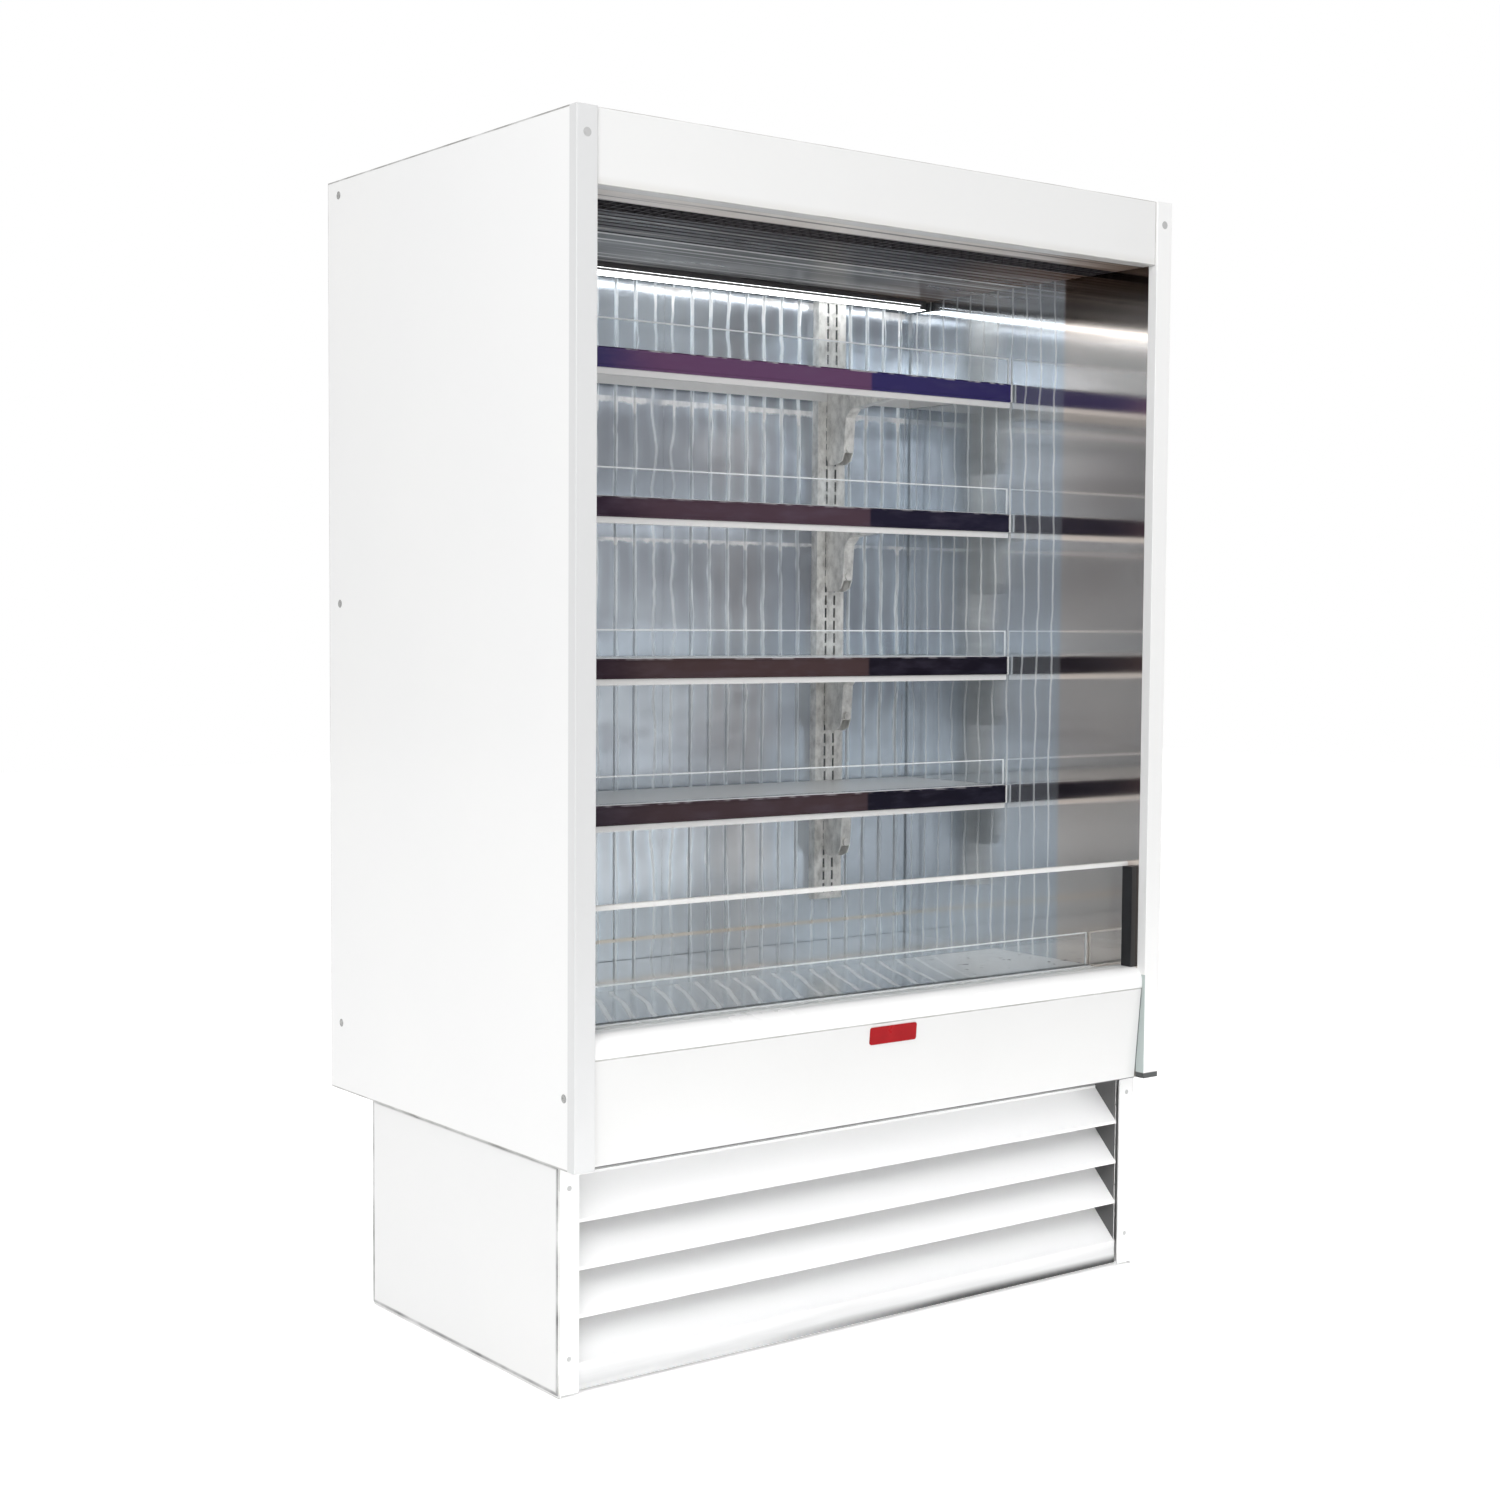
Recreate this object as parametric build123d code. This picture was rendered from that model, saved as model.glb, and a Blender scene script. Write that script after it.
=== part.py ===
from build123d import *
import math
import os

# Open multideck display case, millimetres, +Z up.
# Origin: on the floor, under the centre of the cabinet. Front faces -Y, right is +X.

os.makedirs("parts", exist_ok=True)

# ---- cabinet ----
case_width = 1295.4
case_depth = 813.0
case_height = 1981.2
base_height = 366.0        # floor to the underside of the cabinet
end_wall = 36.9            # foamed end, without its liner
back_wall = 50.8
top_wall = 50.8
floor_wall = 50.8
liner_sheet = 1.2
wall_skin = 1.2            # sheet on each face of a foamed wall
sheet = 1.5                # folded sheet metal
fit_gap = 0.3              # between pieces that don't touch
edge_round = 2.0
past = 1.0                 # how far a cut runs past a face
nearly = 0.9               # bend radius for each mm of sheet
same_spot = 0.01           # how near an edge's centre is to the place asked for

# ---- front post trims ----
post_depth = 20.0
post_sheet = 1.5

# ---- canopy ----
fascia_height = 115.2
fascia_recess = 4.5        # behind the front of the posts
fascia_return = 30.0       # lip folded back under the canopy
fascia_hem = 15.0
strip_depth = 70.0
strip_thick = 3.0
honeycomb_depth = 70.0
honeycomb_thick = 22.0
honeycomb_rows = 3
honeycomb_columns = 60
honeycomb_web = 2.4
bead_pitch = 26.0
bead_width = 10.0
bead_height = 3.0
beaded_depth = 190.0       # part of the ceiling that is beaded
canopy_lamp_width = 46.0
canopy_lamp_height = 18.0
canopy_lamp_behind = 467.0 # the honeycomb
lamp_end_space = 12.0
lamp_socket = 14.0

# ---- ribbed back panels and shelf standards ----
duct_depth = 64.2
rib_start = 66.0
rib_pitch = 44.0
rib_width = 8.0
rib_height = 4.0
ledge_depth = 30.0         # fold at the foot of the back panels that carries the deck
kick_strip_above = 36.0    # strip across the ribs, above the deck
kick_strip_height = 6.0
standard_inset = 209.6     # from the end liner to a standard's centre
standard_width = 70.0
standard_depth = 18.0
standard_sheet = 2.0
standard_above_deck = 87.0
slot_column = 22.0         # between the two columns of slots
slot_width = 5.0
slot_height = 19.0
slot_pitch = 25.4
slot_above_foot = 12.6
stud_radius = 8.0
stud_places = (0.05, 0.5, 0.95)   # part of the standard's length

# ---- shelves, top tier first ----
shelf_places = (0.8225, 0.6116, 0.3796, 0.1687)   # part of the slotted height
lit_shelves = 2
shelf_depth = 299.0
shelf_end_gap = 3.6
shelf_rear_gap = 1.5
shelf_lip = 45.0
shelf_edge = 25.0
shelf_fold = 12.0
hook_below_shelf = 24.0    # from the shelf's underside to the hook's neck
hook_neck = 7.0
hook_drop = 6.0
hook_thick = 3.6
hook_reach = 3.6
lower_hook_slots = 4
bracket_plate = 3.0
bracket_web = 2.0
bracket_length = 250.0
bracket_arm = 42.0
bracket_nose = 22.0
bracket_heel = 150.0
bracket_heel_width = 54.0
bracket_bevel = 11.0
bracket_bolt_radius = 8.0
bracket_bolt_height = 5.0
rail_height = 35.0
rail_thick = 6.0
rail_bead = 2.0            # rounding along its edges
rail_stand = 1.0           # above the shelf
rail_recess = 1.0          # ticket face behind the rail's edges
fence_height = 52.0
fence_thick = 2.5
fence_foot = 14.0
fence_setback = 3.5
shelf_lamp_width = 24.0
shelf_lamp_height = 12.0
shelf_lamp_bevel = 5.0
shelf_lamp_setback = 14.0
shelf_lamp_end = 46.0

# ---- bottom: tub, nose, guard, deck ----
tub_front_inset = 26.5     # tub's front face behind the front of the case
tub_front_wall = 38.0
tub_front_height = 190.0
nose_height = 17.0         # above the tub's front wall
nose_drop = 21.0
nose_inset = 7.5
nose_round = 24.0
panel_lean = 15.0
panel_fold = 12.0
guard_height = 199.2
guard_thick = 6.0
guard_inset = 50.5         # from the front of the case to the guard's front face
guard_groove = 8.0
guard_rail_height = 8.0
guard_rail_width = 12.0
guard_rail_round = 3.0
guard_rail_cover = 4.0
guard_bracket_depth = 24.0
guard_bracket_thick = 12.0
guard_end_gap = 2.6
guard_cheek_past = 2.0
badge_width = 103.0
badge_height = 30.0
badge_thick = 2.0
badge_corner = 4.0
badge_drop = 6.0           # below the top of the leaning panel
deck_height = 562.0
deck_edge = 24.7
well_depth = 154.5         # front of the case to the front of the deck
deck_end_gap = 1.0
deck_joint_place = 0.469    # part of the deck's depth that the front pan takes
deck_joint = 1.0           # between the front and rear pans
deck_rail_width = 30.0     # flat rail under that joint
deck_rail_thick = 3.0
deck_fence_height = 64.0
deck_fence_thick = 3.0
deck_fence_foot = 12.0
grille_thick = 1.5
grille_drop = 2.0          # return grille below the deck
grille_slot_length = 38.0
grille_slot_width = 7.0
grille_slot_pitch = 49.0
grille_rows = 4
grille_row_pitch = 15.0
bulkhead_ledge = 35.0      # under the front of the deck
bulkhead_step = 24.0       # under the rear of the return grille

# ---- evaporator, fans ----
evap_end_space = 89.6      # between the coil and the liner
evap_depth = 200.0
evap_behind_deck_front = 102.0
evap_head_space = 10.0     # under the deck
evap_foot = 12.0
evap_foot_width = 20.0
evap_fan_inset = 339.6
evap_fan_part = 0.333      # fan radius for each mm between the tub's floor and the deck
fan_tip_gap = 4.0
evap_hub_part = 0.4        # hub radius for each mm of fan radius
evap_motor_part = 0.55     # motor radius for each mm of fan radius
evap_motor_length = 44.0
evap_fan_depth = 18.0
evap_blades = 5
blade_chord = 0.62         # for each mm of fan radius
blade_thick = 2.0
shaft_radius = 3.0
shaft_play = 0.05
motor_standoff = 16.0
arm_radius = 3.5
arm_foot_radius = 5.0
arm_past = 6.0             # arm's foot outside the fan opening

# ---- base ----
base_inset = 6.0           # each side
base_front_inset = 53.5
base_rear_inset = 150.0
frame_leg = 38.0
frame_sheet = 3.0
side_sheet = 1.2
upright_width = 36.5
skirt_floor_gap = 4.0
tray_height = 38.0
tray_sheet = 2.0
front_rail_space = 15.0    # behind the face of the louvres
head_rail_space = 9.0      # behind the back of the louvres
vent_length = 90.0
vent_height = 8.0
vent_pitch = 24.0
vent_rows = 7
vent_columns = 7
vent_column_pitch = 112.5
inlet_radius = 11.1
inlet_inset = 110.0
inlet_height = 90.0

# ---- louvred grille ----
louvre_inset = 8.0         # behind the front of the uprights
louvre_gap = 0.3
louvre_pitch = 76.2
louvre_slope = 54.0
louvre_sheet = 1.5
louvre_lip = 5.0
louvre_blades = 4
kick_height = 47.4
kick_floor_gap = 5.0
louvre_top_gap = 8.0

# ---- condensing unit ----
condenser_inset = 220.5    # from the left side of the frame
condenser_length = 540.0
condenser_height = 284.0
condenser_depth = 60.0
condenser_space = 27.5     # behind the louvres
evap_bends = 2             # return bends above each other in a row
condenser_bends = 6
tube_part = 0.42           # tube radius for each mm of bend radius
fin_inset = 3.0            # fins inside the coil's end plates
fin_skin = 5.0             # skin of the hollow block that stands for the fins
coil_sheet = 2.0
shroud_depth = 26.0
condenser_fan_radius = 122.0
condenser_fan_hub = 28.0
condenser_fan_depth = 30.0
condenser_fan_behind = 8.0 # the shroud's back
condenser_blades = 5
condenser_motor_radius = 45.0
condenser_motor_length = 62.0
pedestal_width = 50.0
pedestal_foot = 30.0
pedestal_sheet = 4.5
compressor_inset = 290.5   # from the right side of the frame
compressor_from_rear = 166.0
compressor_radius = 92.0
compressor_height = 226.0
compressor_foot = 16.0
compressor_foot_radius = 11.0
compressor_dome = 50.0     # rounding of the shell's top
compressor_wall = 8.0      # thick enough to stand for the motor and pump inside
compressor_plate = 3.0
compressor_plate_past = 12.0
weld_height = 4.0
weld_width = 5.0
terminal_width = 56.0
terminal_depth = 21.0
terminal_height = 70.0
drain_pan_inset = 160.5
drain_pan_length = 600.0
drain_pan_depth = 200.0
drain_pan_from_rear = 56.0
drain_pan_height = 56.0
drain_pan_wall = 2.0
pipe_radius = 6.0
pipe_bend = 22.0
pipe_hole_gap = 6.0
pipe_offset = 40.0         # from the compressor's middle
pipe_wall_space = 48.0
suction_height = 336.0
box_inset = 160.5
box_length = 150.0
box_depth = 84.0
box_height = 170.0
knob_radius = 16.0
knob_length = 13.0
knob_ridge = 1.5
knob_in_box = 42.0
knob_z = 140.0
rocker_in_box = 105.0
rocker_radius = 11.0
rocker_width = 14.0
rocker_sunk = 7.0
rocker_tilt = 8.0
rocker_dish = 1.2          # depth of the valley in its face
rocker_play = 0.4

# ---- screws ----
screw_radius = 7.0
small_screw_radius = 4.2
screw_depth = 0.8
screw_play = 0.1
screw_from_rear = 41.5
screw_from_post = 10.5
screw_below_top = 26.2
screw_part_way = 0.54      # of the cabinet's height, for the middle one
screw_above_base = 121.0
front_screw_above_base = 112.0
post_screw_below_top = 41.0
upright_screw_drop = 36.0
upright_screw_rise = 60.0

# ---- places worked out from the sizes ----
half_width = case_width / 2
front = -case_depth / 2
rear = case_depth / 2
inner = half_width - end_wall - liner_sheet
post_back = front + post_depth
back_wall_front = rear - back_wall
ceiling_top = case_height - top_wall
tub_floor = base_height + floor_wall
canopy_under = case_height - fascia_height
fascia_face = front + fascia_recess
strip_front = fascia_face + fascia_return
honeycomb_front = strip_front + strip_depth
ceiling_front = honeycomb_front + honeycomb_depth
canopy_lamp_y = ceiling_front + canopy_lamp_behind
panel_back = back_wall_front - duct_depth
panel_front = panel_back - sheet
standard_x = inner - standard_inset
standard_front = panel_front - standard_depth
standard_foot = deck_height + standard_above_deck
first_slot = standard_foot + slot_above_foot
stud_heights = [standard_foot + part * (canopy_under - standard_foot) for part in stud_places]
shelf_rear = standard_front - shelf_rear_gap
shelf_front = shelf_rear - shelf_depth
tub_front = front + tub_front_inset
tub_front_back = tub_front + tub_front_wall
tub_front_top = base_height + tub_front_height
nose_top = tub_front_top + nose_height
nose_face = front + nose_inset
nose_bottom = tub_front_top - nose_drop
guard_front = front + guard_inset
guard_bottom = nose_top - guard_groove + fit_gap
guard_rail_bottom = guard_bottom + guard_height - guard_rail_cover
deck_front = front + well_depth
grille_top = deck_height - grille_drop
ledge_top = deck_height - deck_edge - fit_gap
deck_rear = panel_front - rib_height - fit_gap
deck_middle = deck_front + deck_joint_place * (deck_rear - deck_front)
base_half = half_width - base_inset
frame_half = base_half - side_sheet
base_front = front + base_front_inset
base_rear = rear - base_rear_inset
upright_inner = frame_half - upright_width
tray_top = tray_height + tray_sheet
louvre_front = base_front + louvre_inset
louvre_back = louvre_front + louvre_slope
evap_length = 2 * (inner - evap_end_space)
evap_front = deck_front + evap_behind_deck_front
evap_block = ledge_top - evap_head_space - tub_floor - evap_foot
evap_fan_x = inner - evap_fan_inset
bulkhead_front = deck_front - fit_gap - sheet
evap_fan_height = (tub_floor + ledge_top) / 2
evap_fan_radius = (ledge_top - tub_floor) * evap_fan_part
evap_motor_radius = evap_fan_radius * evap_motor_part
condenser_x = condenser_inset + condenser_length / 2 - frame_half
condenser_front = louvre_back + louvre_sheet + condenser_space
compressor_x = frame_half - compressor_inset
compressor_y = base_rear - compressor_from_rear
drain_pan_x = (drain_pan_inset - frame_half, drain_pan_inset + drain_pan_length - frame_half)
drain_pan_y = (base_rear - drain_pan_from_rear - drain_pan_depth, base_rear - drain_pan_from_rear)
box_x = (frame_half - box_inset - box_length, frame_half - box_inset)
box_front = condenser_front
knob_x = box_x[0] + knob_in_box
rocker_x = box_x[0] + rocker_in_box
middle_screw = base_height + screw_part_way * (case_height - base_height)
end_screw_spots = ((rear - screw_from_rear, case_height - screw_below_top),
                   (rear - screw_from_rear, middle_screw),
                   (rear - screw_from_rear, base_height + screw_above_base),
                   (post_back + screw_from_post, base_height + front_screw_above_base))


def block(x, y, z):
    """A box from its low and high x, y and z."""
    size = Box(x[1] - x[0], y[1] - y[0], z[1] - z[0])
    return Pos((x[0] + x[1]) / 2, (y[0] + y[1]) / 2, (z[0] + z[1]) / 2) * size


def bar(points, x0, x1):
    """A closed (y, z) outline drawn out from x0 to x1."""
    outline = Polyline(*[(x0, y, z) for y, z in points], close=True)
    return extrude(make_face(outline), amount=x1 - x0, dir=(1, 0, 0))


def column(points, z0, z1):
    """A closed (x, y) outline drawn up from z0 to z1."""
    outline = Polyline(*[(x, y, z0) for x, y in points], close=True)
    return extrude(make_face(outline), amount=z1 - z0, dir=(0, 0, 1))


def rod(radius, start, end):
    """A round bar between two points."""
    axis = Vector(*end) - Vector(*start)
    plane = Plane(origin=start, z_dir=axis)
    return extrude(plane * Circle(radius), amount=axis.length)


def other_side(shape):
    """The same piece on the left of the case."""
    return mirror(shape, about=Plane.YZ)


def fuse(shapes):
    """One solid from a list of shapes."""
    whole = shapes[0]
    return whole.fuse(*shapes[1:]) if len(shapes) > 1 else whole


def save(name, *shapes):
    """Write one node; a node of several pieces keeps them as separate solids."""
    solids = [solid for shape in shapes for solid in shape.solids()]
    whole = solids[0] if len(solids) == 1 else Compound(solids)
    export_step(whole, f"parts/{name}.step")


def rounded_edges(shape, axis, places, radius):
    """Round the edges along an axis whose centre is at one of the places (two coordinates)."""
    others = [name for name in "XYZ" if name != axis]
    chosen = []
    for edge in shape.edges().filter_by(getattr(Axis, axis)):
        middle = edge.center()
        spot = [getattr(middle, name) for name in others]
        for place in places:
            if math.dist(spot, place) < same_spot:
                chosen.append(edge)
    return fillet(chosen, radius)


# ---- cabinet walls ----
def inset(span):
    """A span less the wall's skin at each end."""
    return (span[0] + wall_skin, span[1] - wall_skin)


def end_panel():
    """Right end: hollow skin of a foamed wall, with a narrower nose that the post trim caps."""
    wall_x = (inner + liner_sheet, half_width)
    nose_x = (inner + post_sheet + fit_gap, half_width - post_sheet - fit_gap)
    nose_y = (front + post_sheet + fit_gap, post_back)
    z = (base_height, case_height)
    wall = rounded_edges(block(wall_x, (post_back, rear), z), "Z", [(half_width, rear)], edge_round)
    panel = wall.fuse(block(nose_x, nose_y, z))
    nose_hollow_y = (nose_y[0] + wall_skin, post_back + 2 * wall_skin)
    panel -= block(inset(wall_x), inset((post_back, rear)), inset(z))
    panel -= block(inset(nose_x), nose_hollow_y, inset(z))
    for y, z in end_screw_spots:
        start = (half_width - screw_depth, y, z)
        panel -= rod(screw_radius + screw_play, start, (half_width + past, y, z))
    return panel


def end_liner():
    """Right liner: bright sheet on the inside of the end."""
    return block((inner, inner + liner_sheet), (post_back, back_wall_front), (base_height, ceiling_top))


def front_post():
    """Right post trim: a channel over the end's front edge."""
    outside = block((inner, half_width), (front, post_back), (base_height, case_height))
    outside = rounded_edges(outside, "Z", [(inner, front), (half_width, front)], post_sheet)
    hollow_x = (inner + post_sheet, half_width - post_sheet)
    hollow = block(hollow_x, (front + post_sheet, post_back), (base_height, case_height))
    return outside - hollow - post_screw(screw_play)


def post_screw(play=0.0):
    """The screw at the top of the right post trim, sunk in its face."""
    x = (inner + half_width) / 2
    z = case_height - post_screw_below_top
    return rod(screw_radius + play, (x, front + post_sheet, z), (x, front, z))


def end_screws():
    """Flush screw heads in the right end."""
    heads = []
    for y, z in end_screw_spots:
        heads.append(rod(screw_radius, (half_width - screw_depth, y, z), (half_width, y, z)))
    return heads


def back():
    """Hollow skin of the foamed back wall."""
    x = (-inner - liner_sheet, inner + liner_sheet)
    y = (back_wall_front, rear)
    z = (base_height, ceiling_top)
    return block(x, y, z) - block(inset(x), inset(y), inset(z))


def top():
    """Hollow skin of the foamed top wall, with a narrower nose between the post trims."""
    x = (-inner - liner_sheet, inner + liner_sheet)
    z = (ceiling_top, case_height)
    nose_y = (fascia_face + sheet, post_back)
    wall = block(x, (post_back, rear), z).fuse(block((-inner, inner), nose_y, z))
    wall -= block(inset(x), inset((post_back, rear)), inset(z))
    nose_hollow_y = (nose_y[0] + wall_skin, post_back + 2 * wall_skin)
    return wall - block(inset((-inner, inner)), nose_hollow_y, inset(z))


def pipe_spot():
    """Where the pipes come up through the tub's floor."""
    return (inner - pipe_wall_space, compressor_y)


def tub():
    """Hollow skin of the foamed floor and front wall, with the sleeve that the pipes come through."""
    span = (-inner, inner)
    floor_y = (tub_front, back_wall_front)
    floor_z = (base_height, tub_floor)
    wall_y = (tub_front, tub_front_back)
    shell = block(span, floor_y, floor_z).fuse(block(span, wall_y, (tub_floor, tub_front_top)))
    shell -= block(inset(span), inset(floor_y), inset(floor_z))
    shell -= block(inset(span), inset(wall_y), (tub_floor - 2 * wall_skin, tub_front_top - wall_skin))
    x, y = pipe_spot()
    sleeve = rod(pipe_radius + pipe_hole_gap + wall_skin, (x, y, base_height), (x, y, tub_floor))
    hole = rod(pipe_radius + pipe_hole_gap, (x, y, base_height - past), (x, y, tub_floor + past))
    return shell.fuse(sleeve) - hole


# ---- ribbed back and standards ----
def beads(start, end, first, pitch, width, clear=()):
    """Centres of beads between start and end, none of them within a stretch of clear."""
    centres = []
    spot = first
    while spot + width / 2 < end:
        free = all(spot + width < low or spot - width > high for low, high in clear)
        if spot - width / 2 > start and free:
            centres.append(spot)
        spot += pitch
    return centres


def beaded_line(start, end, centres, width, height):
    """A straight line of (along, out) points with a raised bead at each centre."""
    points = [(start, 0.0)]
    for centre in centres:
        points.append((centre - width / 2, 0.0))
        points.append((centre - width / 4, height))
        points.append((centre + width / 4, height))
        points.append((centre + width / 2, 0.0))
    points.append((end, 0.0))
    return points


def back_panel():
    """Right back panel: ribbed sheet with a fold at its foot that carries the deck."""
    edge = standard_width / 2
    flanges = [(standard_x + side * edge - past, standard_x + side * edge + past) for side in (-1, 1)]
    centres = beads(fit_gap, inner, rib_start, rib_pitch, rib_width, flanges)
    line = beaded_line(fit_gap / 2, inner, centres, rib_width, rib_height)
    face = [(x, panel_front - out) for x, out in line]
    hidden = [(x, y + sheet) for x, y in reversed(face)]
    panel = column(face + hidden, ledge_top - sheet, canopy_under)
    ledge_y = (deck_rear - ledge_depth, panel_back)
    ledge = block((fit_gap / 2, inner), ledge_y, (ledge_top - sheet, ledge_top))
    strip_z = (deck_height + kick_strip_above, deck_height + kick_strip_above + kick_strip_height)
    strip = block((fit_gap / 2, inner), (panel_front - rib_height, panel_back), strip_z)
    panel = fuse([panel, ledge, strip])
    for z in stud_heights:
        start = (standard_x, panel_front - past, z)
        panel -= rod(stud_radius + fit_gap, start, (standard_x, panel_back + past, z))
    return panel


def shelf_slot(tier):
    """The slot that a shelf's upper hooks sit in, counted from the lowest."""
    return round(shelf_places[tier] * (canopy_under - first_slot) / slot_pitch)


def slot_bottom(index):
    """Height of the lower edge of a slot."""
    return first_slot + index * slot_pitch


def shelf_standard():
    """Right standard: slotted channel with studs through the panel into the back wall."""
    x = (standard_x - standard_width / 2, standard_x + standard_width / 2)
    strip = block(x, (standard_front, panel_front), (standard_foot, canopy_under))
    hollow_x = (x[0] + standard_sheet, x[1] - standard_sheet)
    strip -= block(hollow_x, (standard_front + standard_sheet, panel_front), (standard_foot, canopy_under))
    slots = []
    index = 0
    while slot_bottom(index) + slot_height < canopy_under:
        z = slot_bottom(index)
        for side in (-1, 1):
            middle = standard_x + side * slot_column / 2
            slot_x = (middle - slot_width / 2, middle + slot_width / 2)
            slot_y = (standard_front - past, standard_front + standard_sheet + past)
            slots.append(block(slot_x, slot_y, (z, z + slot_height)))
        index += 1
    strip = strip.cut(*slots)
    studs = []
    for z in stud_heights:
        start = (standard_x, standard_front + standard_sheet, z)
        studs.append(rod(stud_radius, start, (standard_x, back_wall_front, z)))
    return fuse([strip] + studs)


# ---- canopy ----
def fascia():
    """Folded front sheet of the canopy with a lip above and below."""
    z = (canopy_under, case_height)
    face = block((-inner + sheet, inner - fit_gap), (fascia_face, fascia_face + sheet), z)
    lip_x = (-inner + sheet, inner - fit_gap)
    lip = block(lip_x, (fascia_face, strip_front), (canopy_under, canopy_under + sheet))
    hem = block(lip_x, (strip_front - sheet, strip_front), (canopy_under, canopy_under + fascia_hem))
    whole = fuse([face, lip, hem])
    corners = [(fascia_face, canopy_under), (fascia_face, case_height)]
    return rounded_edges(whole, "X", corners, sheet * nearly)


def canopy_strip():
    """Strip under the canopy with a baffle that closes the air duct's front."""
    strip_z = (canopy_under, canopy_under + strip_thick)
    strip = block((-inner, inner), (strip_front, honeycomb_front), strip_z)
    baffle = block((-inner, inner), (honeycomb_front - sheet, honeycomb_front), (canopy_under, ceiling_top))
    return strip.fuse(baffle)


def honeycomb():
    """Air discharge: a slab of open cells across the case."""
    z = (canopy_under, canopy_under + honeycomb_thick)
    slab = block((-inner, inner), (honeycomb_front, ceiling_front), z)
    cell_x = (2 * inner - honeycomb_web) / honeycomb_columns
    cell_y = (honeycomb_depth - honeycomb_web) / honeycomb_rows
    cells = []
    for row in range(honeycomb_rows):
        y0 = honeycomb_front + honeycomb_web + row * cell_y
        for number in range(honeycomb_columns):
            x0 = -inner + honeycomb_web + number * cell_x
            cell_span = ((x0, x0 + cell_x - honeycomb_web), (y0, y0 + cell_y - honeycomb_web))
            cells.append(block(cell_span[0], cell_span[1], (z[0] - past, z[1] + past)))
    return slab.cut(*cells)


def canopy_ceiling():
    """Beaded sheet that forms the duct over the display space."""
    start = ceiling_front
    centres = beads(start, start + beaded_depth, start + bead_pitch / 2, bead_pitch, bead_width)
    line = beaded_line(start, panel_back, centres, bead_width, bead_height)
    under = [(y, canopy_under + out) for y, out in line]
    upper = [(y, z + sheet) for y, z in reversed(under)]
    plate = bar(under + upper, -inner, inner)
    upstand = block((-inner, inner), (start, start + sheet), (canopy_under, canopy_under + honeycomb_thick))
    return plate.fuse(upstand)


def canopy_lamp():
    """Lamp under the ceiling: a wide batten with two round tubes and a socket at each end."""
    length = inner - lamp_end_space
    y = (canopy_lamp_y - canopy_lamp_width / 2, canopy_lamp_y + canopy_lamp_width / 2)
    batten = block((-length, length), y, (canopy_under - canopy_lamp_height / 2, canopy_under))
    pieces = [batten]
    for side in (-1, 1):
        tube_y = canopy_lamp_y + side * canopy_lamp_width / 4
        tube_z = canopy_under - canopy_lamp_height / 2
        pieces.append(rod(canopy_lamp_height / 2, (-length, tube_y, tube_z), (length, tube_y, tube_z)))
        socket_x = sorted((side * length, side * (length - lamp_socket)))
        pieces.append(block(socket_x, y, (canopy_under - canopy_lamp_height, canopy_under)))
    return fuse(pieces)


# ---- shelves ----
def shelf_top(tier):
    """Height of a shelf's upper face, from the slot that its hooks sit in."""
    return slot_bottom(shelf_slot(tier)) + fit_gap + hook_below_shelf + sheet


def shelf_pan(top_z):
    """Folded shelf pan: deep front lip with a return, shallow edges, and a tab at each end."""
    half = inner - shelf_end_gap
    under = top_z - sheet
    lip_z = top_z - shelf_lip
    pieces = [block((-half, half), (shelf_front, shelf_rear), (under, top_z))]
    pieces.append(block((-half, half), (shelf_front, shelf_front + sheet), (lip_z, top_z)))
    pieces.append(block((-half, half), (shelf_front, shelf_front + shelf_fold), (lip_z, lip_z + sheet)))
    pieces.append(block((-half, half), (shelf_rear - sheet, shelf_rear), (top_z - shelf_edge, top_z)))
    for side in (-1, 1):
        wall_x = sorted((side * half, side * (half - sheet)))
        pieces.append(block(wall_x, (shelf_front, shelf_rear), (top_z - shelf_edge, top_z)))
        tab_x = sorted((side * half, side * (half - 2 * sheet)))
        tab_z = (top_z + rail_stand - rail_height, top_z + rail_stand)
        pieces.append(block(tab_x, (shelf_front - rail_thick - sheet / 2, shelf_front), tab_z))
    pan = fuse(pieces)
    for side in (-1, 1):
        middle = side * standard_x
        notch = slot_column / 2 + bracket_plate
        notch_y = (shelf_rear - sheet - past, shelf_rear + past)
        pan -= block((middle - notch, middle + notch), notch_y, (top_z - shelf_edge - past, under))
    return pan


def bracket_outline(top_z):
    """Side view of a bracket, (y, z): a long arm that drops to a deep heel."""
    back = standard_front - fit_gap
    nose = back - bracket_length
    heel = back - bracket_heel_width
    arm = top_z - bracket_arm
    low = top_z - bracket_heel
    bevel = bracket_bevel
    return [(back, top_z), (nose, top_z), (nose, top_z - bracket_nose), (heel - 2 * bevel, arm),
            (heel - bevel / 2, arm - 1.5 * bevel), (heel, low + 2 * bevel),
            (heel + 0.6 * bevel, low + 0.6 * bevel), (heel + 2 * bevel, low),
            (back - bevel, low), (back, low + bevel)]


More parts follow.
